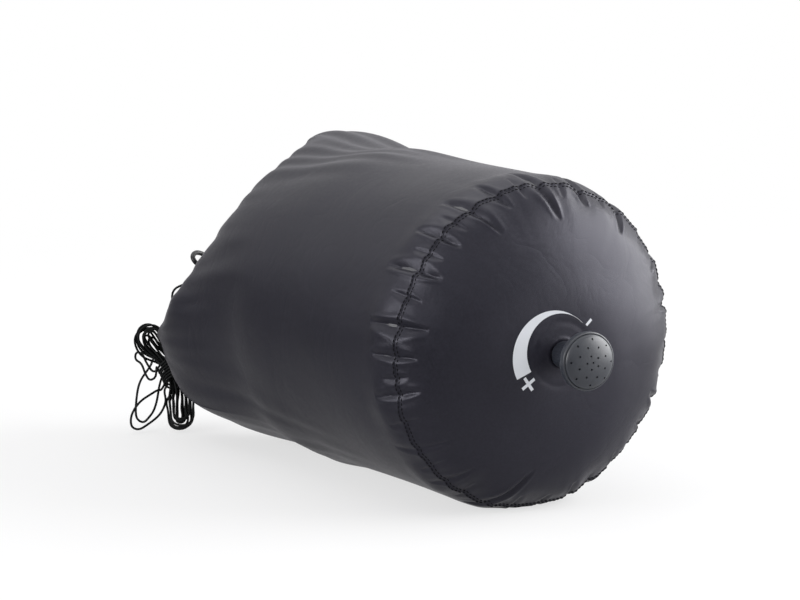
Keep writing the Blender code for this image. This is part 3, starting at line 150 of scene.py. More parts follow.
HANK_WAIST_PITCH = 0.00138
HANK_WIDTH_SHARE = 3.9
HANK_WAIST = 0.0400
HANK_WAIST_HALF = 0.0095
HANK_WAIST_RAMP = 0.0140
HANK_LAYER_STEP = 0.0022
HANK_WAIST_LAYER_STEP = 0.0039
HANK_WAIST_ZIGZAG = 0.00095
HANK_LAYERS = 3
HANK_UNEVEN = 0.0026
HANK_STRAY = 0.0005
HANK_LAYER_SHIFT_SHARE = 0.85
HANK_SPIRAL_SHARE = 3.5
HANK_CLIMB_SHARE = 0.3
HANK_START_SHARE = -0.05
HANK_LOOPS_SHARE = 10.2
POINTS_A_LOOP = 24
POINTS_A_RUN = 8
WRAP_RADIUS = 0.0096
WRAP_PITCH = 0.0030
WRAP_LEAD = 0.0060
WRAP_TURNS_SHARE = 6.4
POINTS_A_WRAP = 12
LEAD_ROUTE = (
    (-0.0515, 0.4060, 0.0900),
    (-0.0560, 0.3990, 0.0760),
)
TAIL_ROUTE = (
    (-0.0765, 0.3755, 0.0262),
    (-0.0813, 0.3710, 0.0262),
    (-0.0893, 0.3660, 0.0252),
    (-0.0963, 0.3630, 0.0231),
    (-0.1020, 0.3610, 0.0203),
    (-0.1059, 0.3610, 0.0157),
    (-0.1081, 0.3610, 0.0110),
    (-0.1083, 0.3610, 0.0067),
    (-0.1064, 0.3610, 0.0030),
    (-0.1034, 0.3600, 0.0020),
    (-0.1000, 0.3590, 0.0031),
    (-0.0958, 0.3580, 0.0057),
    (-0.0877, 0.3570, 0.0119),
    (-0.0844, 0.3580, 0.0157),
    (-0.0808, 0.3620, 0.0194),
    (-0.0772, 0.3700, 0.0224),
    (-0.0700, 0.3840, 0.0243),
    (-0.0611, 0.3980, 0.0260),
    (-0.0590, 0.4030, 0.0290),
    (-0.0629, 0.3980, 0.0319),
    (-0.0716, 0.3870, 0.0304),
    (-0.0775, 0.3790, 0.0254),
    (-0.0835, 0.3700, 0.0194),
    (-0.0888, 0.3650, 0.0129),
    (-0.0947, 0.3610, 0.0091),
    (-0.0999, 0.3600, 0.0068),
    (-0.1029, 0.3610, 0.0087),
    (-0.1030, 0.3640, 0.0129),
    (-0.1002, 0.3690, 0.0196),
    (-0.0953, 0.3760, 0.0274),
    (-0.0890, 0.3830, 0.0329),
    (-0.0834, 0.3880, 0.0359),
    (-0.0776, 0.3940, 0.0381),
    (-0.0734, 0.3990, 0.0397),
    (-0.0686, 0.4050, 0.0422),
    (-0.0622, 0.4090, 0.0417),
    (-0.0591, 0.4090, 0.0379),
    (-0.0632, 0.4040, 0.0347),
    (-0.0734, 0.3930, 0.0356),
    (-0.0794, 0.3870, 0.0380),
    (-0.0817, 0.3860, 0.0407),
    (-0.0815, 0.3900, 0.0428),
    (-0.0797, 0.3980, 0.0456),
    (-0.0806, 0.4020, 0.0485),
    (-0.0840, 0.4000, 0.0486),
    (-0.0873, 0.3960, 0.0458),
    (-0.0873, 0.3920, 0.0440),
    (-0.0863, 0.3880, 0.0425),
    (-0.0866, 0.3850, 0.0400),
    (-0.0873, 0.3800, 0.0369),
    (-0.0870, 0.3760, 0.0341),
    (-0.0854, 0.3730, 0.0334),
    (-0.0836, 0.3720, 0.0359),
    (-0.0819, 0.3740, 0.0393),
    (-0.0801, 0.3770, 0.0416),
)

# Studio surround as the bag sees it: its strength all round, with more overhead and on the bag's right
STUDIO_PLAIN = 0.20
STUDIO_TOP = 0.42
STUDIO_RIGHT = 0.56
STUDIO_TOP_RISE = (0.00, 0.50)
STUDIO_RIGHT_RISE = (0.05, 0.80)

# Floor: its glow near the bag and farther out, and the strength of the painted glow that reflections see on
# it, on the left and the right
FLOOR_GLOW_NEAR = 0.66
FLOOR_GLOW_RISE = (0.30, 1.30)
FLOOR_GLOSS_LEFT = 0.05
FLOOR_GLOSS_RIGHT = 0.72
FLOOR_GLOSS_REACH = 0.45

# Camera, fitted to the photograph: angles, target from the seam's middle at floor height, focal length
CAMERA_AZIMUTH = math.radians(-29.501)
CAMERA_ELEVATION = math.radians(8.943)
CAMERA_TARGET = (-0.04042, 0.100, 0.12407)
CAMERA_DISTANCE = 3.0
CAMERA_SENSOR = 36.0
CAMERA_FOCAL_SHARE = 4602 / 800

# Seam puckers: place in degrees, length on the tube, length on the base, depth, half width, slant
SEAM_PUCKERS = (
    (168.0, 0.026, 0.020, 0.0030, 0.0042, 0.05),
    (179.5, 0.021, 0.015, 0.0024, 0.0034, 0.00),
    (-173.0, 0.012, 0.009, 0.0011, 0.0026, 0.10),
    (-166.5, 0.020, 0.016, 0.0020, 0.0032, 0.10),
    (-156.0, 0.013, 0.012, 0.0010, 0.0026, 0.15),
    (-144.5, 0.020, 0.026, 0.0010, 0.0028, -0.10),
    (-136.0, 0.010, 0.012, 0.0008, 0.0024, 0.10),
    (-128.0, 0.012, 0.022, 0.0010, 0.0028, -0.15),
    (-119.0, 0.009, 0.012, 0.0008, 0.0024, 0.10),
    (-109.0, 0.015, 0.036, 0.0022, 0.0036, -0.45),
    (-98.0, 0.010, 0.014, 0.0012, 0.0028, 0.10),
    (-86.0, 0.010, 0.012, 0.0012, 0.0030, -0.10),
    (-74.5, 0.016, 0.018, 0.0022, 0.0034, 0.10),
    (-65.0, 0.012, 0.012, 0.0014, 0.0028, 0.00),
    (-54.5, 0.018, 0.017, 0.0022, 0.0032, -0.10),
    (-45.0, 0.012, 0.010, 0.0012, 0.0026, 0.05),
    (-36.0, 0.018, 0.018, 0.0024, 0.0034, 0.10),
    (-25.0, 0.022, 0.022, 0.0034, 0.0040, -0.10),
    (-14.0, 0.013, 0.012, 0.0013, 0.0028, 0.05),
    (-1.5, 0.017, 0.015, 0.0020, 0.0032, 0.10),
    (11.0, 0.022, 0.019, 0.0030, 0.0036, -0.15),
    (20.0, 0.011, 0.011, 0.0010, 0.0026, 0.10),
    (29.5, 0.018, 0.017, 0.0022, 0.0032, 0.10),
    (40.0, 0.015, 0.012, 0.0014, 0.0028, -0.05),
    (53.0, 0.024, 0.022, 0.0030, 0.0038, 0.10),
    (62.0, 0.012, 0.010, 0.0010, 0.0024, 0.00),
    (71.0, 0.021, 0.014, 0.0024, 0.0034, 0.15),
    (79.5, 0.010, 0.011, 0.0010, 0.0026, -0.10),
    (88.0, 0.026, 0.028, 0.0030, 0.0040, 0.20),
    (96.0, 0.012, 0.010, 0.0011, 0.0026, 0.05),
    (105.0, 0.020, 0.013, 0.0018, 0.0032, 0.20),
    (117.0, 0.024, 0.026, 0.0024, 0.0036, 0.20),
    (124.5, 0.012, 0.010, 0.0010, 0.0024, 0.10),
    (132.0, 0.021, 0.015, 0.0022, 0.0032, 0.15),
    (139.5, 0.012, 0.011, 0.0013, 0.0026, 0.10),
    (147.0, 0.028, 0.017, 0.0030, 0.0040, 0.10),
    (157.0, 0.013, 0.010, 0.0011, 0.0026, -0.05),
)

# A pucker's section: its valley, its two lips, and how it fades and narrows away from the seam
PUCKER_VALLEY = 1.25
PUCKER_SHARPNESS = 1.05
PUCKER_LIP = 0.40
PUCKER_LIP_PLACE = 1.9
PUCKER_STEEP_SHARE = 0.62
PUCKER_NARROWING = 0.5
PUCKER_FADE_POWER = 0.9
PUCKER_START_SHARE = 0.62
PUCKER_GROWTH = 1.75

# The seam's groove is filled by its folded edges
SEAM_FILL = 0.0017
SEAM_FILL_LENGTH = 0.0024

# Uneven fullness round the seam: waves a turn, phase and share of the height, and its reach
RIPPLE_WAVES = (
    (9, 0.3, 0.9),
    (14, 1.9, 0.8),
    (21, 4.1, 0.9),
    (29, 0.7, 0.7),
    (41, 2.6, 0.5),
    (57, 5.2, 0.35),
)
RIPPLE_HEIGHT = 0.00042
RIPPLE_TUBE_REACH = 0.016
RIPPLE_BASE_REACH = 0.012

# The gathered fabric stands fullest a little way from the seam
TUBE_FULLNESS = 0.0016
TUBE_FULLNESS_PLACE = 0.016
TUBE_FULLNESS_HALF = 0.010
TUBE_FULLNESS_CHANGE = 0.4
TUBE_FULLNESS_WAVE = (11, 0, 1.1)
BASE_FULLNESS = 0.0007
BASE_FULLNESS_PLACE = 0.012
BASE_FULLNESS_HALF = 0.009
BASE_FULLNESS_WAVE = (13, 0, 0.4)

# Faint unevenness. Tube: height, then two waves, each by waves a turn, lean along it and phase
TUBE_WAVES = ((0.0006, (3, 31, 0.4), (0, 23, 1.3)), (0.0003, (8, -43, 0.0), (5, 17, 2.0)))
TUBE_WAVES_RISE = 0.05
# Base: height, one wave, and the radius at which it starts
BASE_WAVES = ((0.0005, (2, 60, 0.0), 0.030), (0.0003, (5, 90, 1.0), 0.040))
BASE_WAVES_RISE = 0.030
BASE_WAVES_FALL = 0.02

# The fabric draws in under the left ear and stands out above it
EAR_DRAW = 0.0066
EAR_DRAW_PLACE = math.radians(-138.0)
EAR_DRAW_TURN = math.radians(34.0)
EAR_DRAW_START = 0.19
EAR_DRAW_RISE = 0.07
EAR_DRAW_END = 0.322
EAR_DRAW_FALL = 0.018
EAR_PUSH = 0.0056
EAR_PUSH_PLACE = math.radians(176.0)
EAR_PUSH_TURN = math.radians(17.0)
EAR_PUSH_MIDDLE = 0.303
EAR_PUSH_HALF = 0.020

# The mouth's pleats: share of the height and a wave; and how all relief dies out at the mouth
PLEAT_WAVES = ((1.0, (19, 60, 0.0)), (0.7, (31, -25, 1.0)), (0.5, (47, 0, 2.2)))
PLEAT_HEIGHT = 0.0008
PLEAT_REACH = 0.040
PLEAT_START = 0.002
PLEAT_RISE = 0.020
MOUTH_EDGE = 0.001
MOUTH_EDGE_RISE = 0.012

# The base's shallow ring round the outlet's flange, and its raised edge at the neck
FLANGE_RING_DEPTH = 0.0003
FLANGE_RING_RADIUS = 0.0205
FLANGE_RING_HALF = 0.0022
NECK_EDGE_HEIGHT = 0.0005
NECK_EDGE_RADIUS = 0.0098
NECK_EDGE_HALF = 0.0012
NECK_EDGE_TUCK = 0.0012

# A fold's shallower groove beside its ridge, and how it rises and falls along its own run
FOLD_GROOVE = 0.6
FOLD_GROOVE_PLACE = 1.7
FOLD_RISE = 0.35
FOLD_FALL = 0.25

# Lengthwise folds of the tube: place in degrees, start and end along it, half width, height, drift in degrees
TUBE_FOLDS = (
    (-158.0, 0.13, 0.33, 0.0060, 0.0005, 14.0),
    (-151.0, 0.09, 0.30, 0.0045, 0.0004, 12.0),
    (-145.0, 0.12, 0.33, 0.0070, 0.0005, 10.0),
    (-137.0, 0.06, 0.28, 0.0050, 0.0003, 9.0),
    (-130.0, 0.09, 0.32, 0.0060, 0.0004, 8.0),
    (-121.0, 0.05, 0.27, 0.0050, 0.0003, 6.0),
    (-112.0, 0.10, 0.30, 0.0060, 0.0006, 5.0),
    (172.0, 0.17, 0.33, 0.0080, 0.0007, -8.0),
    (160.0, 0.20, 0.33, 0.0070, 0.0006, -8.0),
    (118.0, 0.13, 0.31, 0.0070, 0.0009, -10.0),
    (107.0, 0.10, 0.30, 0.0055, 0.0009, -12.0),
    (98.0, 0.12, 0.31, 0.0060, 0.0010, -12.0),
    (88.0, 0.09, 0.30, 0.0060, 0.0010, -10.0),
    (76.0, 0.14, 0.32, 0.0075, 0.0012, -8.0),
    (60.0, 0.16, 0.32, 0.0080, 0.0012, -4.0),
    (38.0, 0.15, 0.32, 0.0080, 0.0012, 3.0),
    (20.0, 0.13, 0.31, 0.0070, 0.0010, 6.0),
    (2.0, 0.14, 0.32, 0.0075, 0.0011, 8.0),
    (-18.0, 0.12, 0.32, 0.0070, 0.0010, 8.0),
    (-40.0, 0.14, 0.32, 0.0080, 0.0010, 6.0),
    (-60.0, 0.16, 0.32, 0.0070, 0.0008, 4.0),
)

# Printed dial: the arc's ends in degrees, its two circles, the signs' spots (radius and place) and sizes
DIAL_ARC_ENDS = (203.0, 51.0)
DIAL_INNER_CIRCLE = ((-0.0021, 0.0025), 0.0236)
DIAL_OUTER_CIRCLE = ((-0.0069, -0.0005), 0.0288)
DIAL_LEAST_WIDTH = 0.00018
DIAL_MINUS_SPOT = (0.0274, math.radians(43.2))
DIAL_MINUS_SIZE = (0.0052, 0.0018)
DIAL_PLUS_SPOT = (0.0298, math.radians(-144.7))
DIAL_PLUS_SIZE = (0.0104, 0.0021)
DIAL_PLUS_ARM = 0.0041
PRINT_LIFT = 0.00012

# Stitches. Base seam: name, whether on the tube, distance from the seam, shift by shares of a stitch
STITCH_ROWS = (("seam_stitches_tube", True, 0.0006, 0.0), ("seam_stitches_base", False, 0.0009, 0.5))
STITCH_COUNT = 224
STITCH_LENGTH = 0.0025
STITCH_THICKNESS = 0.00058
STITCH_FACING = -0.35
STITCH_LIFT = 0.0001
STITCH_LOOK = 0.003
SIDE_STITCH_LENGTH = 0.0022
SIDE_STITCH_THICKNESS = 0.0005
SIDE_STITCH_LIFT = 0.0002

# The tube's lengthwise seam
SIDE_SEAM_TURN = math.radians(251.25)
SIDE_SEAM_START = 0.003
SIDE_SEAM_END = 0.290
SIDE_SEAM_HALF = 0.0045
SIDE_SEAM_HEIGHT = 0.0009
SIDE_SEAM_SINK = 0.0003

# The roll's cloth: how close its outer layers lie, and its wrinkles
ROLL_PRESS_SHARE = 0.94
ROLL_WRINKLE = 0.00022

# The head's flare: shares of its widening and its height, both from the rim, and the radius of each bend
HEAD_FLARE = ((0.80, 0.83, 0.006), (0.48, 0.56, 0.012), (0.12, 0.20, 0.006))
HEAD_FLARE_DROP = 0.0010
HEAD_SEAT_RISE = 0.0004
HEAD_SEAT_WIDTH = 0.0019
ROSE_TIP_TURN = 0.006
SPRAY_CUTTER_LENGTH = 0.014

# The sleeve's grooves: their number and depth, how they rise and fall, and the mesh rows that carry them
SLEEVE_GROOVES = 36
GROOVE_DEPTH = 0.00022
GROOVE_START = 0.0008
GROOVE_RISE = 0.0010
GROOVE_END = 0.0012
GROOVE_FALL = 0.0012
SLEEVE_ROWS = 8
SLEEVE_ROWS_END = 0.0014
SLEEVE_ROWS_MARGIN = 0.0001

# The cord's surface: its fullness, its strands' height and pitch, and the scale of its map
CORD_FULLNESS = 1.08
STRAND_COUNT = 3
STRAND_HEIGHT = 0.05
STRAND_PITCH = 0.0075
CORD_MAP_SCALE = 100

# The lead's turn round the ring, the steps of its and the tail's routes, and the points it bends between
LEAD_WRAP_TURN = math.radians(75)
LEAD_SHORT_STEP = 0.0035
LEAD_STEP = 0.0045
LEAD_CLOSING_SHARE = 0.9
TAIL_STEP = 0.0046

# The tube's skin: how soon its relief follows the surface's normal, and how far it keeps off the floor
NORMAL_RISE = 0.010
FLOOR_CLEARANCE = 0.0002

# Mesh fineness. Tube rows: start, end and count of each stretch
TUBE_ROWS = ((0.0, 0.036, 36), (0.036, 0.250, 53), (0.250, BODY_LENGTH, 33))
TUBE_LIP_ROWS = 8
TUBE_COLUMNS = 720
BASE_FLAT_ROWS = 18
BASE_DOME_ROWS = 104
LATHE_STEPS = 144
CORD_STEP = 0.0010
CORD_SIDES = 10


def smoothstep(share):
    """Rises from 0 to 1 with level ends."""
    share = np.clip(share, 0, 1)
    return share * share * (3 - 2 * share)


def hump(distance, half_width):
    """A bell, 1 in its middle: the exponential of minus the square of distance over half width."""
    return np.exp(-((distance / half_width) ** 2))


def window(value, start, rise, end, fall):
    """Rises from 0 to 1 behind its start, and falls back to 0 before its end."""
    return smoothstep((value - start) / rise) * smoothstep((end - value) / fall)


def wave(places, along, count, lean, phase):
    """A wave round the axis: the sine of place times count, distance along times lean, and a phase."""
    return np.sin(count * places + lean * along + phase)


def marks_along(points):
    """How far each point of a line lies along it."""
    return np.concatenate([[0.0], np.cumsum(np.linalg.norm(np.diff(points, axis=0), axis=1))])


def on_line(points, marks, spots):
    """Values at given distances along a line, from its points and their marks."""
    return np.stack([np.interp(spots, marks, column) for column in points.T], axis=1)


def pairs(one, other):
    """Pairs of two arrays' values, each spread over the rows and columns of the other."""
    return np.stack(np.broadcast_arrays(one, other), axis=-1)


# Meshes from grids

def grid_mesh(name, points, uv=None, wrap_columns=False, wrap_rows=False, caps=False):
    """A surface over a grid of points, turned outwards by the sign of its volume about its middle."""
    rows, columns = points.shape[:2]
    index = np.arange(rows * columns).reshape(rows, columns)
    if wrap_columns:
        index = np.concatenate([index, index[:, :1]], axis=1)
    if wrap_rows:
        index = np.concatenate([index, index[:1]], axis=0)
    quads = np.stack([index[:-1, :-1], index[:-1, 1:], index[1:, 1:], index[1:, :-1]], axis=-1).reshape(-1, 4)
    flat = points.reshape(-1, 3) + SEAM
    corners = flat[quads]
    area = np.cross(corners[:, 2] - corners[:, 0], corners[:, 3] - corners[:, 1])
    outward = (area * (corners.mean(axis=1) - flat.mean(axis=0))).sum() > 0
    order = [0, 1, 2, 3] if outward else [3, 2, 1, 0]
    quads = quads[:, order]
    mesh = bpy.data.meshes.new(name)
    faces = quads.tolist()
    if caps:
        first, last = index[0].tolist(), index[-1].tolist()
        if wrap_columns:
            first, last = first[:-1], last[:-1]
        faces += [first[::-1], last] if not outward else [first, last[::-1]]
    mesh.from_pydata(flat.tolist(), [], faces)
    if uv is not None:
        spots = np.stack([uv[:-1, :-1], uv[:-1, 1:], uv[1:, 1:], uv[1:, :-1]], axis=2).reshape(-1, 4, 2)
        layer = mesh.uv_layers.new(name="cloth")
        coordinates = np.zeros((len(mesh.loops), 2), np.float32)
        coordinates[: quads.size] = spots[:, order].reshape(-1, 2)
        layer.data.foreach_set("uv", coordinates.ravel())
    mesh.shade_smooth()
    return bpy.data.objects.new(name, mesh)


def place(obj, finish, body, replaced, slot):
    """Puts a finished piece in the scene: its material, the body it rides on and what it stands for."""
    bpy.context.scene.collection.objects.link(obj)
    obj.data.materials.clear()
    obj.data.materials.append(finish)
    if body:
        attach(obj, body)
    if replaced:
        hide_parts(*replaced)
    return obj


def unit(vectors):
    return vectors / np.maximum(np.linalg.norm(vectors, axis=-1, keepdims=True), 1e-12)


def grid_normals(points, wrap_columns=True):
    """Normals of a grid surface, from its slopes along rows and columns."""
    if wrap_columns:
        wide = np.concatenate([points[:, -1:], points, points[:, :1]], axis=1)
        across = wide[:, 2:] - wide[:, :-2]
    else:
        across = np.gradient(points, axis=1)
    along = np.gradient(points, axis=0)
    normal = unit(np.cross(across, along))
    middle = points.mean(axis=(0, 1))
    return normal if ((points - middle) * normal).sum() > 0 else -normal


def turn_outwards(mesh):
    """Turns every face of a closed mesh outwards."""
    work = bmesh.new()
    work.from_mesh(mesh)
    bmesh.ops.recalc_face_normals(work, faces=work.faces)
    if work.calc_volume(signed=True) < 0:
        bmesh.ops.reverse_faces(work, faces=work.faces)
    work.to_mesh(mesh)
    work.free()


def about_axis(radius, places, along):
    """Points round the bag's axis: each from its radius, its place about the axis and its place along it."""
    parts = np.broadcast_arrays(radius * np.cos(places), along, radius * np.sin(places))
    return np.stack(parts, axis=-1)


def lathe(profile, turns, relief=0.0):
    """Turns a profile of (radius, height outwards) about the bag's axis; relief adds to its radius."""
    return about_axis(profile[:, :1] + relief, turns, -profile[:, 1:2])


def full_turn(count, start=0.0):
    return start + np.linspace(0, math.tau, count, endpoint=False)[None, :]


def rounded(corners, steps):
    """An open outline through corners (across, up, radius), each rounded off by a fillet of its radius."""
    corners, radii = np.asarray(corners, float)[:, :2], [corner[2] for corner in corners]
    line = [corners[0]]
    for i in range(1, len(corners) - 1):
        before, here, after = corners[i - 1 : i + 2]
        into, out = unit(before - here), unit(after - here)
        half = math.acos(float(np.clip(into @ out, -1, 1))) / 2
        reach = radii[i] / math.tan(half)
        if radii[i] <= 0 or half > math.radians(89):
            line.append(here)
            continue
        centre = here + unit(into + out) * radii[i] / math.sin(half)
        start, end = here + into * reach - centre, here + out * reach - centre
        turn = math.atan2(start[0] * end[1] - start[1] * end[0], float(start @ end))
        for share in np.linspace(0, 1, steps):
            c, s = math.cos(turn * share), math.sin(turn * share)
            line.append(centre + np.array([c * start[0] - s * start[1], s * start[0] + c * start[1]]))
    line.append(corners[-1])
    return np.array(line)


# Materials

class Tree:
    """Adds shader nodes, with settings by name and inputs as values or as other nodes' outputs."""

    def __init__(self, tree):
        self.tree = tree

    def fill(self, node, inputs):
        for name, value in inputs.items():
            if isinstance(value, bpy.types.NodeSocket):
                self.tree.links.new(value, node.inputs[name])
            else:
                node.inputs[name].default_value = value
        return node

    def add(self, kind, inputs=None, **settings):
        node = self.tree.nodes.new(kind if kind.startswith("Node") else "ShaderNode" + kind)
        for name, value in settings.items():
            setattr(node, name, value)
        return self.fill(node, inputs or {})

    def math(self, operation, *values):
        return self.add("Math", dict(enumerate(values)), operation=operation).outputs[0]

    def scaled(self, value, factor, start):
        """A start value plus a factor times another value."""
        return self.math("ADD", self.math("MULTIPLY", value, factor), start)

    def tinted(self, colour, value, amount):
        """A colour that grows lighter and darker with a value around zero."""
        scale = self.scaled(value, amount, 1.0)
        return self.add("VectorMath", {0: colour, "Scale": scale}, operation="SCALE").outputs[0]

    def ramp(self, value, span, low, high, kind="SMOOTHSTEP"):
        """Goes from low to high as a value crosses a span."""
        inputs = {0: value, 1: span[0], 2: span[1], 3: low, 4: high}
        return self.add("MapRange", inputs, interpolation_type=kind).outputs[0]

    def bump(self, height, distance, strength, normal=None):
        inputs = {"Height": height, "Distance": distance, "Strength": strength}
        if normal:
            inputs["Normal"] = normal
        return self.add("Bump", inputs).outputs[0]


def node_group(name, inputs, outputs, build):
    """A shader node group with named float inputs and outputs, filled in by a function."""
    group = bpy.data.node_groups.new(name, "ShaderNodeTree")
    for socket, default in inputs.items():
        made = group.interface.new_socket(socket, in_out="INPUT", socket_type="NodeSocketFloat")
        made.default_value = default
    for socket in outputs:
        group.interface.new_socket(socket, in_out="OUTPUT", socket_type="NodeSocketFloat")
    tree = Tree(group)
    into = tree.add("NodeGroupInput")
    out = tree.add("NodeGroupOutput")
    for socket, value in build(tree, into.outputs).items():
        group.links.new(value, out.inputs[socket])
    return group


def build_weave(tree, given):
    """A plain weave on the piece's own map: crossing waves, warp over weft by turns."""
    spot = tree.add("UVMap", uv_map="cloth").outputs[0]
    axes = tree.add("SeparateXYZ", {0: spot})
    waves = []
    for axis in (0, 1):
        turn = tree.math("MULTIPLY", tree.math("DIVIDE", axes.outputs[axis], given["Pitch"]), math.tau)
        waves.append(tree.math("SINE", turn))
    crossing = tree.math("MULTIPLY", waves[0], waves[1])
    return {"Height": tree.scaled(crossing, 0.5, 0.5)}


def build_mottle(tree, given):
    """Broad and fine unevenness over the piece, both from -0.5 to 0.5."""
    spot = tree.add("TexCoord").outputs["Object"]
    broad = tree.add("TexNoise", {"Vector": spot, "Scale": given["Broad scale"], "Detail": 3.0})
    fine = tree.add("TexNoise", {"Vector": spot, "Scale": given["Fine scale"], "Detail": 2.0})
    return {
        "Broad": tree.math("SUBTRACT", broad.outputs[0], 0.5),
        "Fine": tree.math("SUBTRACT", fine.outputs[0], 0.5),
    }


def build_crinkle(tree, given):
    """Shallow creases of handled cloth: ridged noise, sharp along its folds."""
    spot = tree.add("TexCoord").outputs["Object"]
    bent = tree.add("TexNoise", {"Vector": spot, "Scale": given["Scale"], "Detail": 4.0, "Distortion": 0.6})
    ridge = tree.math("ABSOLUTE", tree.math("SUBTRACT", bent.outputs[0], 0.5))
    return {"Height": tree.math("POWER", tree.math("MULTIPLY", ridge, 2.0), 0.7)}


WEAVE = node_group("weave", {"Pitch": 0.0005}, ["Height"], build_weave)
MOTTLE = node_group("mottle", {"Broad scale": 12.0, "Fine scale": 700.0}, ["Broad", "Fine"], build_mottle)
CRINKLE = node_group("crinkle", {"Scale": 30.0}, ["Height"], build_crinkle)


def group_node(tree, group, **values):
    node = tree.add("Group", node_tree=group)
    for name, value in values.items():
        node.inputs[name.replace("_", " ").capitalize()].default_value = value
    return node


def new_finish(name):
    made = bpy.data.materials.new(name)
    made.use_nodes = True
    shader = made.node_tree.nodes["Principled BSDF"]
    return made, Tree(made.node_tree), shader


def fabric(name, colour, roughness, pitch, weave_depth, crinkle_depth):
    """Coated plain-weave nylon: fine weave, faint crinkles, uneven tone and a soft sheen at low angles."""
    made, tree, shader = new_finish(name)
    mottle = group_node(tree, MOTTLE, broad_scale=14.0, fine_scale=620.0)
    weave = group_node(tree, WEAVE, pitch=pitch)
    crinkle = group_node(tree, CRINKLE, scale=26.0)
    tone = tree.math("ADD", mottle.outputs["Broad"], tree.math("MULTIPLY", mottle.outputs["Fine"], 1.6))
    grain = tree.math("MULTIPLY", mottle.outputs["Fine"], 0.22)
    creased = tree.bump(crinkle.outputs[0], crinkle_depth, 1.0)
    tree.fill(shader, {
        "Base Color": tree.tinted(colour, tone, 0.36),
        "Roughness": tree.math("ADD", tree.scaled(mottle.outputs["Broad"], 0.10, grain), roughness),
        "Normal": tree.bump(weave.outputs[0], weave_depth, 0.6, creased),
        "Specular IOR Level": 0.45,
        "Specular Tint": (0.87, 0.86, 1.0, 1.0),
        "Sheen Weight": 0.11,
        "Sheen Roughness": 0.25,
        "Sheen Tint": (0.95, 0.91, 1.0, 1.0),
    })
    return made


def plastic(name, colour, roughness, grain_depth, gloss=0.5):
    """Moulded plastic: faint tone changes, fine moulded grain and scuffs in its gloss."""
    made, tree, shader = new_finish(name)
    mottle = group_node(tree, MOTTLE, broad_scale=60.0, fine_scale=1600.0)
    tree.fill(shader, {
        "Base Color": tree.tinted(colour, mottle.outputs["Broad"], 0.25),
        "Roughness": tree.scaled(mottle.outputs["Broad"], 0.16, roughness),
        "Normal": tree.bump(mottle.outputs["Fine"], grain_depth, 1.0),
        "Specular IOR Level": gloss,
    })
    return made


def webbing_finish():
    """Flat woven webbing: rows of yarn along and across the strap in its own directions."""
    made, tree, shader = new_finish("woven_webbing")
    spot = tree.add("TexCoord").outputs["Object"]
    turned = tree.add("Mapping", {"Vector": spot, "Rotation": (0.0, MOUTH_TILT, 0.0)}, vector_type="TEXTURE")
    rib = tree.add(
        "TexWave",
        {"Vector": turned.outputs[0], "Scale": 160.0, "Distortion": 0.4},
        wave_type="BANDS",
        bands_direction="X",
    )
    mottle = group_node(tree, MOTTLE, broad_scale=90.0, fine_scale=1400.0)
    tone = tree.math("ADD", tree.math("SUBTRACT", rib.outputs[1], 0.5), mottle.outputs["Fine"])
    tree.fill(shader, {
        "Base Color": tree.tinted((0.020, 0.020, 0.022), tone, 0.5),
        "Roughness": tree.scaled(mottle.outputs["Fine"], 0.2, 0.75),
        "Normal": tree.bump(rib.outputs[1], 0.0003, 0.8),
    })
    return made


def cord_finish():
    """Twisted cord: painted shade darkens it between its strands, with fine fibres along them."""
    made, tree, shader = new_finish("twisted_cord")
    spot = tree.add("UVMap", uv_map="cloth").outputs[0]
    strand_shade_and_fibres = tree.add(
        "TexWave",
        {"Vector": spot, "Scale": 9.0, "Distortion": 1.5, "Detail": 1.0},
        wave_type="BANDS",
        bands_direction="DIAGONAL",
    )
    mottle = group_node(tree, MOTTLE, broad_scale=200.0, fine_scale=2500.0)
    # Painted shade: the bands darken the colour between the strands, and also give the fibres.
    tone = tree.math("ADD", tree.math("SUBTRACT", strand_shade_and_fibres.outputs[1], 0.5), mottle.outputs["Fine"])
    tree.fill(shader, {
        "Base Color": tree.tinted((0.0045, 0.0055, 0.0060), tone, 0.7),
        "Roughness": tree.scaled(mottle.outputs["Fine"], 0.2, 0.62),
        "Normal": tree.bump(strand_shade_and_fibres.outputs[1], 0.0001, 0.5),
        "Specular IOR Level": 0.25,
    })
    return made


def print_finish():
    """Pale screen print: a little uneven where the weave shows through."""
    made, tree, shader = new_finish("pale_print")
    mottle = group_node(tree, MOTTLE, broad_scale=40.0, fine_scale=1800.0)
    tone = tree.math("ADD", mottle.outputs["Broad"], tree.math("MULTIPLY", mottle.outputs["Fine"], 0.5))
    tree.fill(shader, {
        "Base Color": tree.tinted((0.64, 0.66, 0.70), tone, 0.14),
        "Roughness": tree.scaled(mottle.outputs["Broad"], 0.2, 0.5),
        "Normal": tree.bump(mottle.outputs["Fine"], 0.0001, 0.3),
    })
    return made


FABRIC = fabric("coated_fabric", (0.0160, 0.0155, 0.0225), roughness=0.37, pitch=0.0007, weave_depth=0.00004,
                crinkle_depth=0.00022)
THREAD = plastic("seam_thread", (0.006, 0.006, 0.007), 0.85, 0.00005, gloss=0.15)
SHELL = plastic("head_satin", (0.024, 0.028, 0.039), 0.40, 0.00003, gloss=1.0)
MOULDED = plastic("black_moulding", (0.014, 0.014, 0.016), 0.34, 0.00004)
RUBBER = plastic("black_rubber", (0.012, 0.012, 0.012), 0.62, 0.00006)
STRIP = plastic("pale_strip", (0.55, 0.55, 0.52), 0.45, 0.00003)
TAPE = plastic("welded_tape", (0.10, 0.10, 0.11), 0.40, 0.00003)
WEBBING = webbing_finish()
CORD = cord_finish()
PRINT = print_finish()


# Fabric tube and base

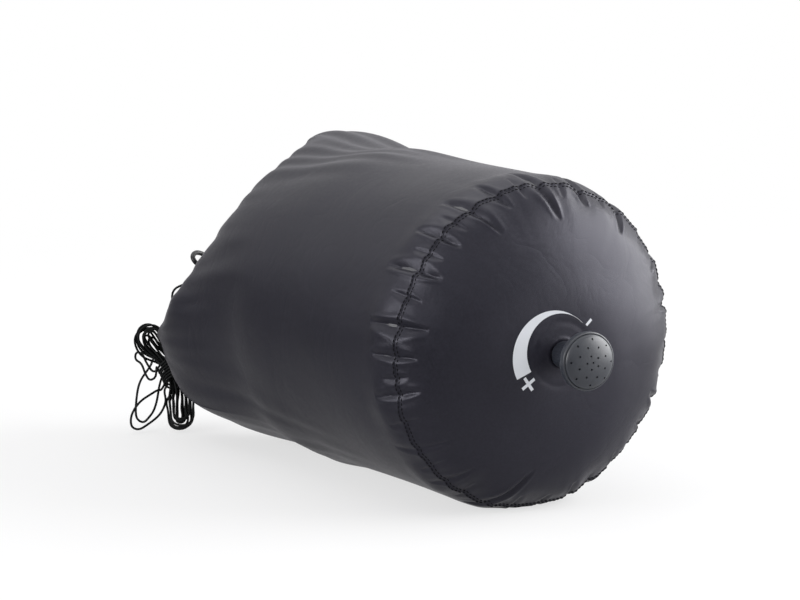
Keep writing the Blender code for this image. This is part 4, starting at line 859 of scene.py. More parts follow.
ACROSS = np.array([math.cos(MOUTH_TILT), 0, math.sin(MOUTH_TILT)])
ABOVE = np.array([-math.sin(MOUTH_TILT), 0, math.cos(MOUTH_TILT)])
BACKWARDS = np.array([0.0, 1.0, 0.0])
LOOP_RISE = math.cos(MOUTH_LEAN) * BACKWARDS - math.sin(MOUTH_LEAN) * ABOVE
LOOP_WIDTH = math.cos(MOUTH_LEAN) * ABOVE + math.sin(MOUTH_LEAN) * BACKWARDS
ROLL_HALF_THICKNESS = STIFFENER_THICKNESS / 2 + GAP + ROLL_SHEET + ROLL_PITCH
LOOP_BASE = MOUTH_OFFSET * ABOVE + BODY_LENGTH * BACKWARDS
ROLL_CENTRE_RISE = GAP + LOOP_LIFT + ROLL_HALF_THICKNESS
ROLL_BEND_RADIUS = LOOP_RADIUS - ROLL_CENTRE_RISE - LOOP_SLACK
LOOP_TOP_RISE = ROLL_CENTRE_RISE + 2 * ROLL_BEND_RADIUS
LOOP_STRAIGHT = (ROLL_HALF_LENGTH + ROLL_END_PLACE - math.pi * ROLL_BEND_RADIUS) / 2
BUCKLE_PLACE = LOOP_BASE + BUCKLE_SHIFT * ACROSS + LOOP_TOP_RISE * LOOP_RISE


def tube_radius(along):
    """The tube's radius before its shoulder: a quarter ellipse from the seam to its full width."""
    swell = np.sqrt(1 - (1 - np.clip(along / SWELL_LENGTH, 0, 1)) ** 2)
    return SEAM_RADIUS + (BODY_RADIUS - SEAM_RADIUS) * swell


def seam_oval(places, share):
    """How far a round section is stretched at its places: a share of the seam's slight oval."""
    return 1 + SEAM_OVAL_SHARE * np.cos(2 * (places - SEAM_OVAL_TURN)) * share


def tube_points(along, turns, closing=1.0):
    """The model's tube: a circle pressed into a creased lens whose ends, the ears, bend round the carry loop.

    closing, from 1 to 0, draws the mouth's two lips together on its line.
    """
    radius = tube_radius(along)
    share = np.clip((along - SHOULDER_START) / (BODY_LENGTH - SHOULDER_START), 0, 1)
    whole = smoothstep(share)
    crease = MOUTH_OFFSET * whole
    closing_up = (1 - share**UPPER_FULLNESS_SHARE) ** (1 / UPPER_FULLNESS_SHARE)
    closing_down = (1 - share**LOWER_FULLNESS_SHARE) ** (1 / LOWER_FULLNESS_SHARE)
    top = MOUTH_OFFSET + MOUTH_HALF_BAND + (radius - MOUTH_OFFSET - MOUTH_HALF_BAND) * closing_up
    bottom = MOUTH_OFFSET - MOUTH_HALF_BAND - (radius + MOUTH_OFFSET - MOUTH_HALF_BAND) * closing_down
    folded = np.minimum(turns, math.tau - turns)
    evened = np.arccos(np.clip(1 - 2 * folded / math.pi, -1, 1))
    turns = turns + whole * np.where(turns > math.pi, folded - evened, evened - folded)
    widening = smoothstep((share - EAR_START_SHARE) / (1 - EAR_START_SHARE))
    half_width = radius + (EAR_REACH - radius) * widening
    sharpness = 1 + smoothstep((share - CREASE_START_SHARE) / (1 - CREASE_START_SHARE))

    across = half_width * np.cos(turns) + MOUTH_SHIFT * whole
    side = np.sin(turns)
    height = np.where(side > 0, top - crease, crease - bottom) * closing
    above = crease + height * np.abs(side) ** sharpness * np.sign(side)
    back = along + math.tan(MOUTH_LEAN) * (above - crease) * whole

    from_mouth = BODY_LENGTH - along
    reach = (1 - BEND_START_SHARE) * (BODY_LENGTH - SHOULDER_START)
    straightening = 1 - np.clip(from_mouth / reach, 0, 1) ** 2
    bend = straightening / (LOOP_RADIUS * straightening + EAR_FAN_SHARE * from_mouth) + TINY_SHARE
    beyond = np.maximum(np.abs(across) - LOOP_STRAIGHT, 0)
    turn = np.minimum(bend * beyond, EAR_TURN_LIMIT)
    rest = beyond - turn / bend
    bent = LOOP_STRAIGHT + np.sin(turn) / bend + rest * np.cos(turn)
    rise = (1 - np.cos(turn)) / bend + rest * np.sin(turn)
    across = np.where(beyond > 0, np.sign(across) * bent, across)
    back = back + math.cos(MOUTH_LEAN) * rise
    above = above - math.sin(MOUTH_LEAN) * rise

    points = across[..., None] * ACROSS + above[..., None] * ABOVE + back[..., None] * BACKWARDS
    spot = np.arctan2(points[..., 2], points[..., 0])
    oval = seam_oval(spot, np.exp(-back / SEAM_OVAL_FADE))
    points[..., 0] *= oval
    points[..., 2] *= oval
    low = np.clip(-points[..., 2] / AXIS_HEIGHT, 0, 1)
    points[..., 2] -= SAG_DEPTH * low * smoothstep(share / SAG_START_SHARE) * closing_down**2
    points[..., 2] = np.maximum(points[..., 2], -AXIS_HEIGHT)
    return points


def arc_gap(places, spot):
    """Distance round the seam from a spot, in metres: the shorter way, with its sign."""
    return ((places - spot + math.pi) % math.tau - math.pi) * SEAM_RADIUS


def pucker_relief(places, from_seam, on_tube):
    """Height of the seam's puckers: a sharp valley that narrows away from the seam, between two soft lips.

    The valley is the exponential of minus the distance across it to a power just above one, steeper on one
    side. It is deepest a little way from the seam and runs out at its own length.
    """
    relief = np.zeros(np.broadcast(places, from_seam).shape)
    for number, (degrees, tube_length, base_length, depth, half_width, slant) in enumerate(SEAM_PUCKERS):
        share = np.clip(from_seam / (tube_length if on_tube else base_length), 0, 1)
        fade = (1 - share) ** PUCKER_FADE_POWER * (PUCKER_START_SHARE + PUCKER_GROWTH * share)
        gap = arc_gap(places, math.radians(degrees)) - (slant if on_tube else -slant) * from_seam
        before, after = (1.0, PUCKER_STEEP_SHARE) if number % 2 else (PUCKER_STEEP_SHARE, 1.0)
        wide = half_width * (1 - PUCKER_NARROWING * share) * np.where(gap > 0, after, before)
        over = np.abs(gap) / wide
        lips = PUCKER_LIP * hump(over - PUCKER_LIP_PLACE, 1)
        relief += depth * fade * (lips - PUCKER_VALLEY * np.exp(-(over**PUCKER_SHARPNESS)))
    return relief


def ripple(places):
    """Uneven fullness round the seam, as the gathered fabric leaves it: a sum of sines."""
    return RIPPLE_HEIGHT * sum(size * np.sin(count * places + phase) for count, phase, size in RIPPLE_WAVES)


def tube_relief(places, along):
    """Everything that stands on the smooth tube: seam puckers, lengthwise folds and the mouth's pleats.

    A fold is a ridge, the bell of the distance across it, with a shallower groove along one side.
    """
    relief = pucker_relief(places, along, True) + SEAM_FILL * np.exp(-along / SEAM_FILL_LENGTH)
    relief += ripple(places) * np.exp(-along / RIPPLE_TUBE_REACH)
    full = TUBE_FULLNESS * hump(along - TUBE_FULLNESS_PLACE, TUBE_FULLNESS_HALF)
    relief += full * (1 - TUBE_FULLNESS_CHANGE + TUBE_FULLNESS_CHANGE * wave(places, 0, *TUBE_FULLNESS_WAVE))
    for degrees, start, end, half_width, height, drift in TUBE_FOLDS:
        run = (along - start) / (end - start)
        over = arc_gap(places, math.radians(degrees + drift) - math.radians(drift) * run) / half_width
        ridge = hump(over, 1) - FOLD_GROOVE * hump(over - FOLD_GROOVE_PLACE, 1)
        relief += height * window(run, 0, FOLD_RISE, 1, FOLD_FALL) * ridge
    for height, one, other in TUBE_WAVES:
        faint = height * wave(places, along, *one) * wave(places, along, *other)
        relief += faint * smoothstep(along / TUBE_WAVES_RISE)
    draw = EAR_DRAW * window(along, EAR_DRAW_START, EAR_DRAW_RISE, EAR_DRAW_END, EAR_DRAW_FALL)
    relief -= draw * hump(arc_gap(places, EAR_DRAW_PLACE) / SEAM_RADIUS, EAR_DRAW_TURN)
    push = EAR_PUSH * hump(along - EAR_PUSH_MIDDLE, EAR_PUSH_HALF)
    relief += push * hump(arc_gap(places, EAR_PUSH_PLACE) / SEAM_RADIUS, EAR_PUSH_TURN)
    from_mouth = BODY_LENGTH - along
    pleats = PLEAT_HEIGHT * sum(size * wave(places, along, *one) for size, one in PLEAT_WAVES)
    relief += pleats * np.exp(-from_mouth / PLEAT_REACH) * smoothstep((from_mouth - PLEAT_START) / PLEAT_RISE)
    return relief * smoothstep((from_mouth - MOUTH_EDGE) / MOUTH_EDGE_RISE)


def tube_skin():
    """The tube's outer skin from the base seam to its closed mouth, with a map in metres for the weave.

    Its relief stands straight out from the axis at the seam, and on the surface's normal past it.
    """
    spans = [np.linspace(start, end, count + 1)[1:] for start, end, count in TUBE_ROWS]
    lips = np.linspace(1, 0, TUBE_LIP_ROWS)[1:]
    along = np.concatenate([[0.0], *spans, np.full(len(lips), BODY_LENGTH)])[:, None]
    closing = np.concatenate([np.ones(len(along) - len(lips)), lips])[:, None]
    turns = full_turn(TUBE_COLUMNS)
    smooth = tube_points(along, turns, closing)
    places = turns + MOUTH_TILT
    share = smoothstep(along / NORMAL_RISE)[..., None]
    direction = unit(about_axis(1.0, places, 0.0) * (1 - share) + grid_normals(smooth) * share)
    points = smooth + direction * tube_relief(places, along)[..., None]
    points[..., 2] = np.maximum(points[..., 2], -AXIS_HEIGHT + FLOOR_CLEARANCE)
    wrapped = np.linspace(0, math.tau, TUBE_COLUMNS + 1)[None, :] * BODY_RADIUS
    obj = grid_mesh("bag_skin", points, pairs(wrapped, along), wrap_columns=True)
    return place(obj, FABRIC, "root", ["bag_body"], "coated_nylon")


def dome(radius):
    """The base's height over the seam at a radius: flat round the outlet, then a superellipse to the seam."""
    fall = np.clip((radius - BASE_FLAT_RADIUS) / (SEAM_RADIUS - BASE_FLAT_RADIUS), 0, 1)
    return BASE_BULGE * (1 - fall**2) ** BASE_DOME_SHARE


def dome_radii(count):
    """Radii from the flat's edge to the seam, closer together towards the seam, as the sine of even steps."""
    steps = np.sin(np.linspace(0, math.pi / 2, count))
    return BASE_FLAT_RADIUS + (SEAM_RADIUS - BASE_FLAT_RADIUS) * steps


def base_surface(radius, places, lift=0.0):
    """Points of the puckered base at radii and places about its middle, lifted off it by a given height."""
    radius = np.asarray(radius, float)
    fine = dome_radii(400)
    run = marks_along(np.stack([fine, dome(fine)], axis=1))
    from_seam = run[-1] - np.interp(radius, fine, run)
    nudge = 0.00002
    near, far = radius - nudge, np.minimum(radius + nudge, SEAM_RADIUS)
    slope = (dome(far) - dome(near)) / (far - near)
    normal = unit(np.stack([-slope, np.ones_like(slope)], axis=-1))

    relief = pucker_relief(places, from_seam, False) + SEAM_FILL * np.exp(-from_seam / SEAM_FILL_LENGTH)
    relief += ripple(places) * np.exp(-from_seam / RIPPLE_BASE_REACH)
    full = BASE_FULLNESS * hump(from_seam - BASE_FULLNESS_PLACE, BASE_FULLNESS_HALF)
    relief += full * wave(places, 0, *BASE_FULLNESS_WAVE)
    for height, one, start in BASE_WAVES:
        faint = height * wave(places, radius, *one) * smoothstep((radius - start) / BASE_WAVES_RISE)
        relief += faint * smoothstep(from_seam / BASE_WAVES_FALL)
    relief -= FLANGE_RING_DEPTH * hump(radius - FLANGE_RING_RADIUS, FLANGE_RING_HALF)
    relief += NECK_EDGE_HEIGHT * hump(radius - NECK_EDGE_RADIUS, NECK_EDGE_HALF) + lift
    out = radius * seam_oval(places, (radius / SEAM_RADIUS) ** 2) + normal[..., 0] * relief
    return about_axis(out, places, -dome(radius) - normal[..., 1] * relief)


def base_skin():
    """The domed base's outer skin, from a rolled edge at the neck to the seam."""
    flat = np.linspace(NECK_RADIUS + GAP, BASE_FLAT_RADIUS, BASE_FLAT_ROWS)
    radius = np.concatenate([flat, dome_radii(BASE_DOME_ROWS)[1:]])[:, None]
    places = full_turn(TUBE_COLUMNS, MOUTH_TILT)
    points = base_surface(radius, places)
    tucked = points[:1] + np.array([0.0, NECK_EDGE_TUCK, 0.0])
    points = np.concatenate([tucked, points])
    wrapped = np.concatenate([places, places[:, :1] + math.tau], axis=1)
    spread = np.concatenate([radius[:1], radius])
    uv = np.stack([spread * np.cos(wrapped), spread * np.sin(wrapped)], axis=-1)
    obj = grid_mesh("base_skin", points, uv, wrap_columns=True)
    return place(obj, FABRIC, "root", ["base_panel"], "coated_nylon")


def decal(name, radius, places):
    """A thin printed patch on the base, over a grid of radii and places."""
    obj = grid_mesh(name, base_surface(radius, places, PRINT_LIFT))
    if obj.data.polygons[0].normal.y > 0:
        obj.data.flip_normals()
    return place(obj, PRINT, "root", (), "coated_nylon")


def printed_dial():
    """The tapering arc between a small minus and a small plus, between two circles of unlike centres."""
    places = np.radians(np.linspace(*DIAL_ARC_ENDS, 160))[None, :]
    way = np.stack([np.cos(places), np.sin(places)], axis=-1)

    def circle(centre, radius):
        reach = way @ np.array(centre)
        return reach + np.sqrt(reach**2 - np.dot(centre, centre) + radius**2)

    inner = circle(*DIAL_INNER_CIRCLE)
    edge = np.maximum(circle(*DIAL_OUTER_CIRCLE), inner + DIAL_LEAST_WIDTH)
    share = np.linspace(0, 1, 14)[:, None]
    decal("dial_arc", inner + (edge - inner) * share, places + 0 * share)

    def spot_at(radius, place):
        return radius * np.array([math.cos(place), math.sin(place)])

    def bar(name, middle, way, length, width):
        ahead, side = spot_at(1, way), spot_at(1, way + math.pi / 2)
        lengthwise = (np.linspace(-0.5, 0.5, 16) * length)[:, None, None] * ahead
        spots = middle + lengthwise + (np.linspace(-0.5, 0.5, 5) * width)[None, :, None] * side
        decal(name, np.hypot(spots[..., 0], spots[..., 1]), np.arctan2(spots[..., 1], spots[..., 0]))

    bar("dial_minus", spot_at(*DIAL_MINUS_SPOT), DIAL_MINUS_SPOT[1], *DIAL_MINUS_SIZE)
    plus, way_out = spot_at(*DIAL_PLUS_SPOT), DIAL_PLUS_SPOT[1]
    width = DIAL_PLUS_SIZE[1]
    bar("dial_plus_stem", plus, way_out, *DIAL_PLUS_SIZE)
    for name, hand in (("dial_plus_left", -1), ("dial_plus_right", 1)):
        middle = plus + spot_at(hand * (width + DIAL_PLUS_ARM) / 2, way_out - math.pi / 2)
        bar(name, middle, way_out + math.pi / 2, DIAL_PLUS_ARM, width)


def seam_frames(places, from_seam, on_tube):
    """Points on the fabric beside the seam, and the way the seam runs there.

    On the base the distance is a height over the seam, which the dome's own formula turns into a radius.
    """
    def at(spots):
        if on_tube:
            along = np.full_like(spots, from_seam)
            out = (tube_radius(along) + tube_relief(spots, along)) * seam_oval(spots, 1)
            return about_axis(out, spots, along)
        fall = (from_seam / BASE_BULGE) ** (1 / BASE_DOME_SHARE)
        radius = BASE_FLAT_RADIUS + (SEAM_RADIUS - BASE_FLAT_RADIUS) * math.sqrt(1 - fall)
        return base_surface(np.full_like(spots, radius), spots, STITCH_LIFT)

    return at(places), unit(at(places + STITCH_LOOK) - at(places - STITCH_LOOK))


def stitch_row(name, here, ahead, out, length, thickness):
    """A row of short threads: rods with rounded ends, each along its own way, half sunk in the cloth."""
    share = np.linspace(-1, 1, 6)
    swell = np.sqrt(np.clip(1 - share**4, 0, 1)) * 0.92 + 0.08
    round_way = np.linspace(0, math.tau, 6, endpoint=False)
    side = unit(np.cross(ahead, out))
    middle = here[:, None] + ahead[:, None] * (share * length / 2)[None, :, None]
    middle = middle - out[:, None] * (share**2 * thickness * 0.5)[None, :, None]
    ring = side[:, None, None] * np.cos(round_way)[None, None, :, None]
    ring = ring + out[:, None, None] * np.sin(round_way)[None, None, :, None]
    points = middle[:, :, None] + ring * (swell * thickness / 2)[None, :, None, None]
    count, rows, columns = points.shape[:3]
    index = np.arange(count * rows * columns).reshape(count, rows, columns)
    index = np.concatenate([index, index[:, :, :1]], axis=2)
    quads = np.stack([index[:, :-1, :-1], index[:, :-1, 1:], index[:, 1:, 1:], index[:, 1:, :-1]], axis=-1)
    faces = quads.reshape(-1, 4)[:, ::-1].tolist()
    faces += index[:, 0, :-1].tolist() + index[:, -1, -2::-1].tolist()
    mesh = bpy.data.meshes.new(name)
    mesh.from_pydata((points.reshape(-1, 3) + SEAM).tolist(), [], faces)
    turn_outwards(mesh)
    mesh.shade_smooth()
    return place(bpy.data.objects.new(name, mesh), THREAD, "root", (), "coated_nylon")


def seam_stitches():
    """Twin rows of stitches, one on each side of the base seam."""
    for name, on_tube, from_seam, shift in STITCH_ROWS:
        places = (np.arange(STITCH_COUNT) + shift) * math.tau / STITCH_COUNT
        here, ahead = seam_frames(places, from_seam, on_tube)
        out = about_axis(1.0, places, STITCH_FACING)
        out = unit(out - (out * ahead).sum(axis=-1, keepdims=True) * ahead)
        stitch_row(name, here, ahead, out, STITCH_LENGTH, STITCH_THICKNESS)


def side_seam():
    """The tube's own lengthwise seam, low on its right side: a flat ridge with two rows of stitches."""
    along = np.linspace(SIDE_SEAM_START, SIDE_SEAM_END, 150)[:, None]
    across = np.linspace(-1, 1, 9)[None, :]
    turns = SIDE_SEAM_TURN + across * SIDE_SEAM_HALF / BODY_RADIUS
    smooth = tube_points(along, turns + 0 * along)
    normal = grid_normals(smooth, wrap_columns=False)
    axis = smooth * np.array([1, 0, 1])
    normal = normal * np.sign((normal * axis).sum(axis=-1, keepdims=True))
    height = tube_relief(turns + MOUTH_TILT, along) + SIDE_SEAM_HEIGHT * (1 - across**6) - SIDE_SEAM_SINK
    points = smooth + normal * height[..., None]
    obj = grid_mesh("side_seam_fold", points, pairs(turns * BODY_RADIUS, along))
    if (np.array(obj.data.polygons[0].normal) * points[0, 0] * np.array([1, 0, 1])).sum() < 0:
        obj.data.flip_normals()
    place(obj, FABRIC, "root", (), "coated_nylon")
    rows = np.linspace(4, 145, 88).astype(int)
    for name, column in (("side_stitches_left", 2), ("side_stitches_right", 6)):
        out = normal[rows, column]
        ahead = unit(points[rows + 1, column] - points[rows - 1, column])
        here = points[rows, column] + out * SIDE_STITCH_LIFT
        stitch_row(name, here, ahead, out, SIDE_STITCH_LENGTH, SIDE_STITCH_THICKNESS)


# Rolled mouth

def loop_path(distance):
    """Centre and outward way at signed distances along the loop: straight parts joined by half circles."""
    way = np.sign(distance)
    beyond = np.maximum(np.abs(distance) - LOOP_STRAIGHT, 0)
    turn = np.minimum(beyond / ROLL_BEND_RADIUS, math.pi)
    rest = beyond - turn * ROLL_BEND_RADIUS
    straight = np.minimum(np.abs(distance), LOOP_STRAIGHT)
    across = way * (straight + np.sin(turn) * ROLL_BEND_RADIUS + rest * np.cos(turn))
    rise = ROLL_CENTRE_RISE + (1 - np.cos(turn)) * ROLL_BEND_RADIUS
    centre = LOOP_BASE + across[:, None] * ACROSS + rise[:, None] * LOOP_RISE
    outward = (way * np.sin(turn))[:, None] * ACROSS - np.cos(turn)[:, None] * LOOP_RISE
    return centre, outward


def plane_arc(centre, radius, start, end, count):
    turns = np.linspace(math.radians(start), math.radians(end), count)
    return np.stack([centre[0] + radius * np.cos(turns), centre[1] + radius * np.sin(turns)], axis=1)


def roll_skin():
    """The rolled mouth: a flattened spiral of cloth carried round the carry loop, with soft wrinkles.

    The wrinkles are the product of two sines of the distance along the loop, one of them bent by a third.
    """
    first = STIFFENER_THICKNESS / 2 + GAP + ROLL_SHEET / 2
    second = first + ROLL_PITCH
    middle = (second - first) / 2

    def straight(height, way):
        return pairs(np.linspace(-ROLL_HALF_FLAT, ROLL_HALF_FLAT, 12)[::way], height)

    line = np.concatenate([
        straight(first, 1),
        plane_arc((ROLL_HALF_FLAT, 0.0), first, 90, -90, 9)[1:],
        straight(-first, -1)[1:-1],
        plane_arc((-ROLL_HALF_FLAT, middle), first + middle, 270, 90, 11),
        straight(second, 1)[1:-1],
        plane_arc((ROLL_HALF_FLAT, 0.0), second, 90, -90, 13),
        straight(-second, -1)[1:],
    ])
    step = unit(np.gradient(line, axis=0))
    side = np.stack([-step[:, 1], step[:, 0]], axis=1) * ROLL_SHEET / 2
    section = np.concatenate([line + side, (line - side)[::-1]])
    distance = np.linspace(-ROLL_HALF_LENGTH, ROLL_HALF_LENGTH, 330)
    centre, outward = loop_path(distance)
    wrinkles = np.sin(distance * 410 + 3 * np.sin(distance * 60)) * np.sin(distance * 97 + 2) * ROLL_WRINKLE
    rise = section[None, :, 1]
    pressed = rise * ROLL_PRESS_SHARE + wrinkles[:, None] * np.sign(rise)
    thick = np.where(np.abs(rise) > first, pressed, rise)
    wide = section[None, :, 0, None] * LOOP_WIDTH
    points = centre[:, None] + wide + thick[..., None] * outward[:, None]
    run = np.append(marks_along(section), 0.0)
    obj = grid_mesh("roll_skin", points, pairs(run[None, :], distance[:, None]), wrap_columns=True, caps=True)
    return place(obj, FABRIC, "root", ["roll_top"], "coated_nylon")


# Valve

def sleeve_and_head():
    """The shower head's shell: grooved sleeve, flare, rolled rim bead and the seat inside it."""
    bottom = BASE_BULGE + SLEEVE_START
    top = bottom + SLEEVE_LENGTH
    seat = BASE_BULGE + HEAD_RIM_START
    rim_top = seat + HEAD_WALL + HEAD_RIM_DEPTH
    inside = HEAD_RADIUS - HEAD_RIM_WIDTH
    flare = HEAD_RADIUS - SLEEVE_RADIUS
    rise = seat - top
    profile = rounded([
        (NECK_RADIUS + GAP, bottom, 0),
        (SLEEVE_RADIUS, bottom, 0.0004),
        (SLEEVE_RADIUS, top - HEAD_FLARE_DROP, 0.004),
        *[(HEAD_RADIUS - flare * out, seat - rise * up, bend) for out, up, bend in HEAD_FLARE],
        (HEAD_RADIUS, seat + HEAD_SEAT_RISE, 0.0014),
        (HEAD_RADIUS, rim_top, 0.00095),
        (inside, rim_top, 0.00012),
        (inside, seat + HEAD_WALL, 0.0002),
        (inside - HEAD_SEAT_WIDTH, seat + HEAD_WALL, 0),
    ], 7)
    low, high = bottom + GROOVE_START, top - SLEEVE_ROWS_END
    below = profile[profile[:, 1] < low - SLEEVE_ROWS_MARGIN]
    above = profile[profile[:, 1] >= high + SLEEVE_ROWS_MARGIN]
    line = np.concatenate([below, pairs(SLEEVE_RADIUS, np.linspace(low, high, SLEEVE_ROWS)), above])
    grip = window(line[:, 1], low, GROOVE_RISE, top - GROOVE_END, GROOVE_FALL)
    grip = np.where(line[:, 0] > (NECK_RADIUS + GAP + SLEEVE_RADIUS) / 2, grip, 0)
    turns = full_turn(LATHE_STEPS * 2)
    grooves = -GROOVE_DEPTH * grip[:, None] * (0.5 - 0.5 * np.cos(turns * SLEEVE_GROOVES)) ** 2
    obj = grid_mesh("head_shell_fine", lathe(line, turns, grooves), wrap_columns=True)
    place(obj, SHELL, "head", ["head_shell"], "head_plastic")


def rose():
    """The domed spray plate: half an ellipse turned about the axis, and its holes cut through."""
    seat = BASE_BULGE + HEAD_RIM_START + HEAD_WALL + GAP
    edge = HEAD_RADIUS - HEAD_RIM_WIDTH - GAP
    rim_top = seat + ROSE_RIM_DEPTH

    def half_ellipse(inset, turn):
        return np.stack([(edge - inset) * np.cos(turn), rim_top + (ROSE_DOME - inset) * np.sin(turn)], axis=1)

    turn = np.linspace(math.pi / 2 - ROSE_TIP_TURN, 0.0, 44)
    corners = [(edge, seat), (edge - ROSE_THICKNESS, seat)]
    under = half_ellipse(ROSE_THICKNESS, turn[:-4:2][::-1])
    points = lathe(np.concatenate([half_ellipse(0.0, turn), corners, under]), full_turn(LATHE_STEPS))
    obj = grid_mesh("rose_fine", points, wrap_columns=True, wrap_rows=True)
    place(obj, SHELL, "head", ["rose_plate"], "head_plastic")

    spots = [(0.0, 0.0)]
    for ring, count, start in zip(SPRAY_RING_RADII, SPRAY_RING_COUNTS, SPRAY_RING_TURNS):
        turns = [start + k * math.tau / count for k in range(count)]
        spots += [(ring * math.cos(t), ring * math.sin(t)) for t in turns]
    work = bmesh.new()
    for x, z in spots:
        middle = Vector((x + SEAM[0], SEAM[1] - rim_top, z + SEAM[2]))
        matrix = Matrix.Translation(middle) @ Matrix.Rotation(math.pi / 2, 4, "X")
        bmesh.ops.create_cone(work, cap_ends=True, segments=18, radius1=SPRAY_HOLE_RADIUS,
                              radius2=SPRAY_HOLE_RADIUS, depth=SPRAY_CUTTER_LENGTH, matrix=matrix)
    mesh = bpy.data.meshes.new("spray_hole_cutter")
    work.to_mesh(mesh)
    work.free()
    cutter = bpy.data.objects.new("spray_hole_cutter", mesh)
    bpy.context.scene.collection.objects.link(cutter)
    cut = obj.modifiers.new("holes", "BOOLEAN")
    cut.object = cutter
    cut.solver = "EXACT"
    bpy.context.view_layer.update()
    holed = bpy.data.meshes.new_from_object(obj.evaluated_get(bpy.context.evaluated_depsgraph_get()))
    obj.modifiers.clear()
    obj.data = holed
    holed.shade_smooth()
    holed.set_sharp_from_angle(angle=math.radians(35))
    bpy.data.objects.remove(cutter)


# Ring and cord

def ring_line(count):
    """The ring's middle line: a straight side on its hinge, round corners and an elliptical bow."""
    side = RING_HALF_WIDTH - RING_CORNER
    corner = plane_arc((RING_CORNER, side), RING_CORNER, 175, 92, 8)
    reach = RING_REACH - RING_CORNER
    bow = np.linspace(0, math.pi, 60)
    bow = np.stack([RING_CORNER + reach * np.sin(bow), RING_HALF_WIDTH * np.cos(bow)], axis=1)
    other = corner[::-1] * np.array([1, -1])
    straight = np.stack([np.zeros(14), np.linspace(-side, side, 14)], axis=1)[1:-1]
    line = np.concatenate([corner, bow[1:-1], other, straight, corner[:1]])
    marks = marks_along(line)
    return on_line(line, marks, np.linspace(0, marks[-1], count, endpoint=False))


WEBBING_BEND = BAR_HALF_THICKNESS + GAP + WEBBING_THICKNESS / 2
RING_TAB_BEND = RING_WIRE_RADIUS + GAP + WEBBING_THICKNESS / 2
RING_LIFT = WEBBING_BEND + WEBBING_THICKNESS / 2 + GAP + WEBBING_THICKNESS / 2 + RING_TAB_BEND
RING_CENTRE = np.array([RING_PLACE, RING_SLIDE, RING_LIFT])
BUCKLE_AXES = np.stack([ACROSS, -LOOP_WIDTH, LOOP_RISE])
RING_AXES = np.array([
    [math.cos(RING_TILT), 0.0, math.sin(RING_TILT)],
    [0.0, 1.0, 0.0],
    [-math.sin(RING_TILT), 0.0, math.cos(RING_TILT)],
])


def moulded_ring():
    """The ring's wire, flattened a little on its faces, with a round section carried along its line."""
    line = ring_line(160)
    ahead = unit(np.roll(line, -1, axis=0) - np.roll(line, 1, axis=0))
    side = np.stack([ahead[:, 1], -ahead[:, 0]], axis=1)
    turns = np.linspace(0, math.tau, 20, endpoint=False)
    across = line[:, None] + side[:, None] * (np.cos(turns) * RING_WIRE_RADIUS)[None, :, None]
    height = (np.sin(turns) * RING_WIRE_RADIUS * RING_FLAT_SHARE)[None, :] + 0 * across[..., 0]
    spots = np.concatenate([across, height[..., None]], axis=-1) @ RING_AXES
    points = BUCKLE_PLACE + (spots + RING_CENTRE) @ BUCKLE_AXES
    obj = grid_mesh("ring_fine", points, wrap_columns=True, wrap_rows=True)
    place(obj, MOULDED, "ring", ["d_ring"], "moulded_plastic")


def smooth_curve(route, count):
    """Points evenly spread along a natural cubic spline through the route."""
    route = np.array(route, float)
    size = len(route)
    marks = marks_along(route)
    gaps = np.diff(marks)[:, None]
    slopes = np.diff(route, axis=0) / gaps
    matrix = np.eye(size)
    right = np.zeros_like(route)
    inner = np.arange(1, size - 1)
    matrix[inner, inner - 1] = gaps[:-1, 0]
    matrix[inner, inner] = 2 * (gaps[:-1, 0] + gaps[1:, 0])
    matrix[inner, inner + 1] = gaps[1:, 0]
    right[1:-1] = 6 * np.diff(slopes, axis=0)
    bends = np.linalg.solve(matrix, right)
    spot = np.linspace(0, marks[-1], count)
    part = np.clip(np.searchsorted(marks, spot, side="right") - 1, 0, size - 2)
    past = (spot - marks[part])[:, None]
    step = gaps[part]
    linear = slopes[part] - step * (2 * bends[part] + bends[part + 1]) / 6
    cubic = (bends[part + 1] - bends[part]) / (6 * step)
    return route[part] + linear * past + bends[part] * past**2 / 2 + cubic * past**3


def resampled(points, step):
    """Points an even step apart along a line of points."""
    marks = marks_along(points)
    return on_line(points, marks, np.linspace(0, marks[-1], max(int(round(marks[-1] / step)), 1) + 1))


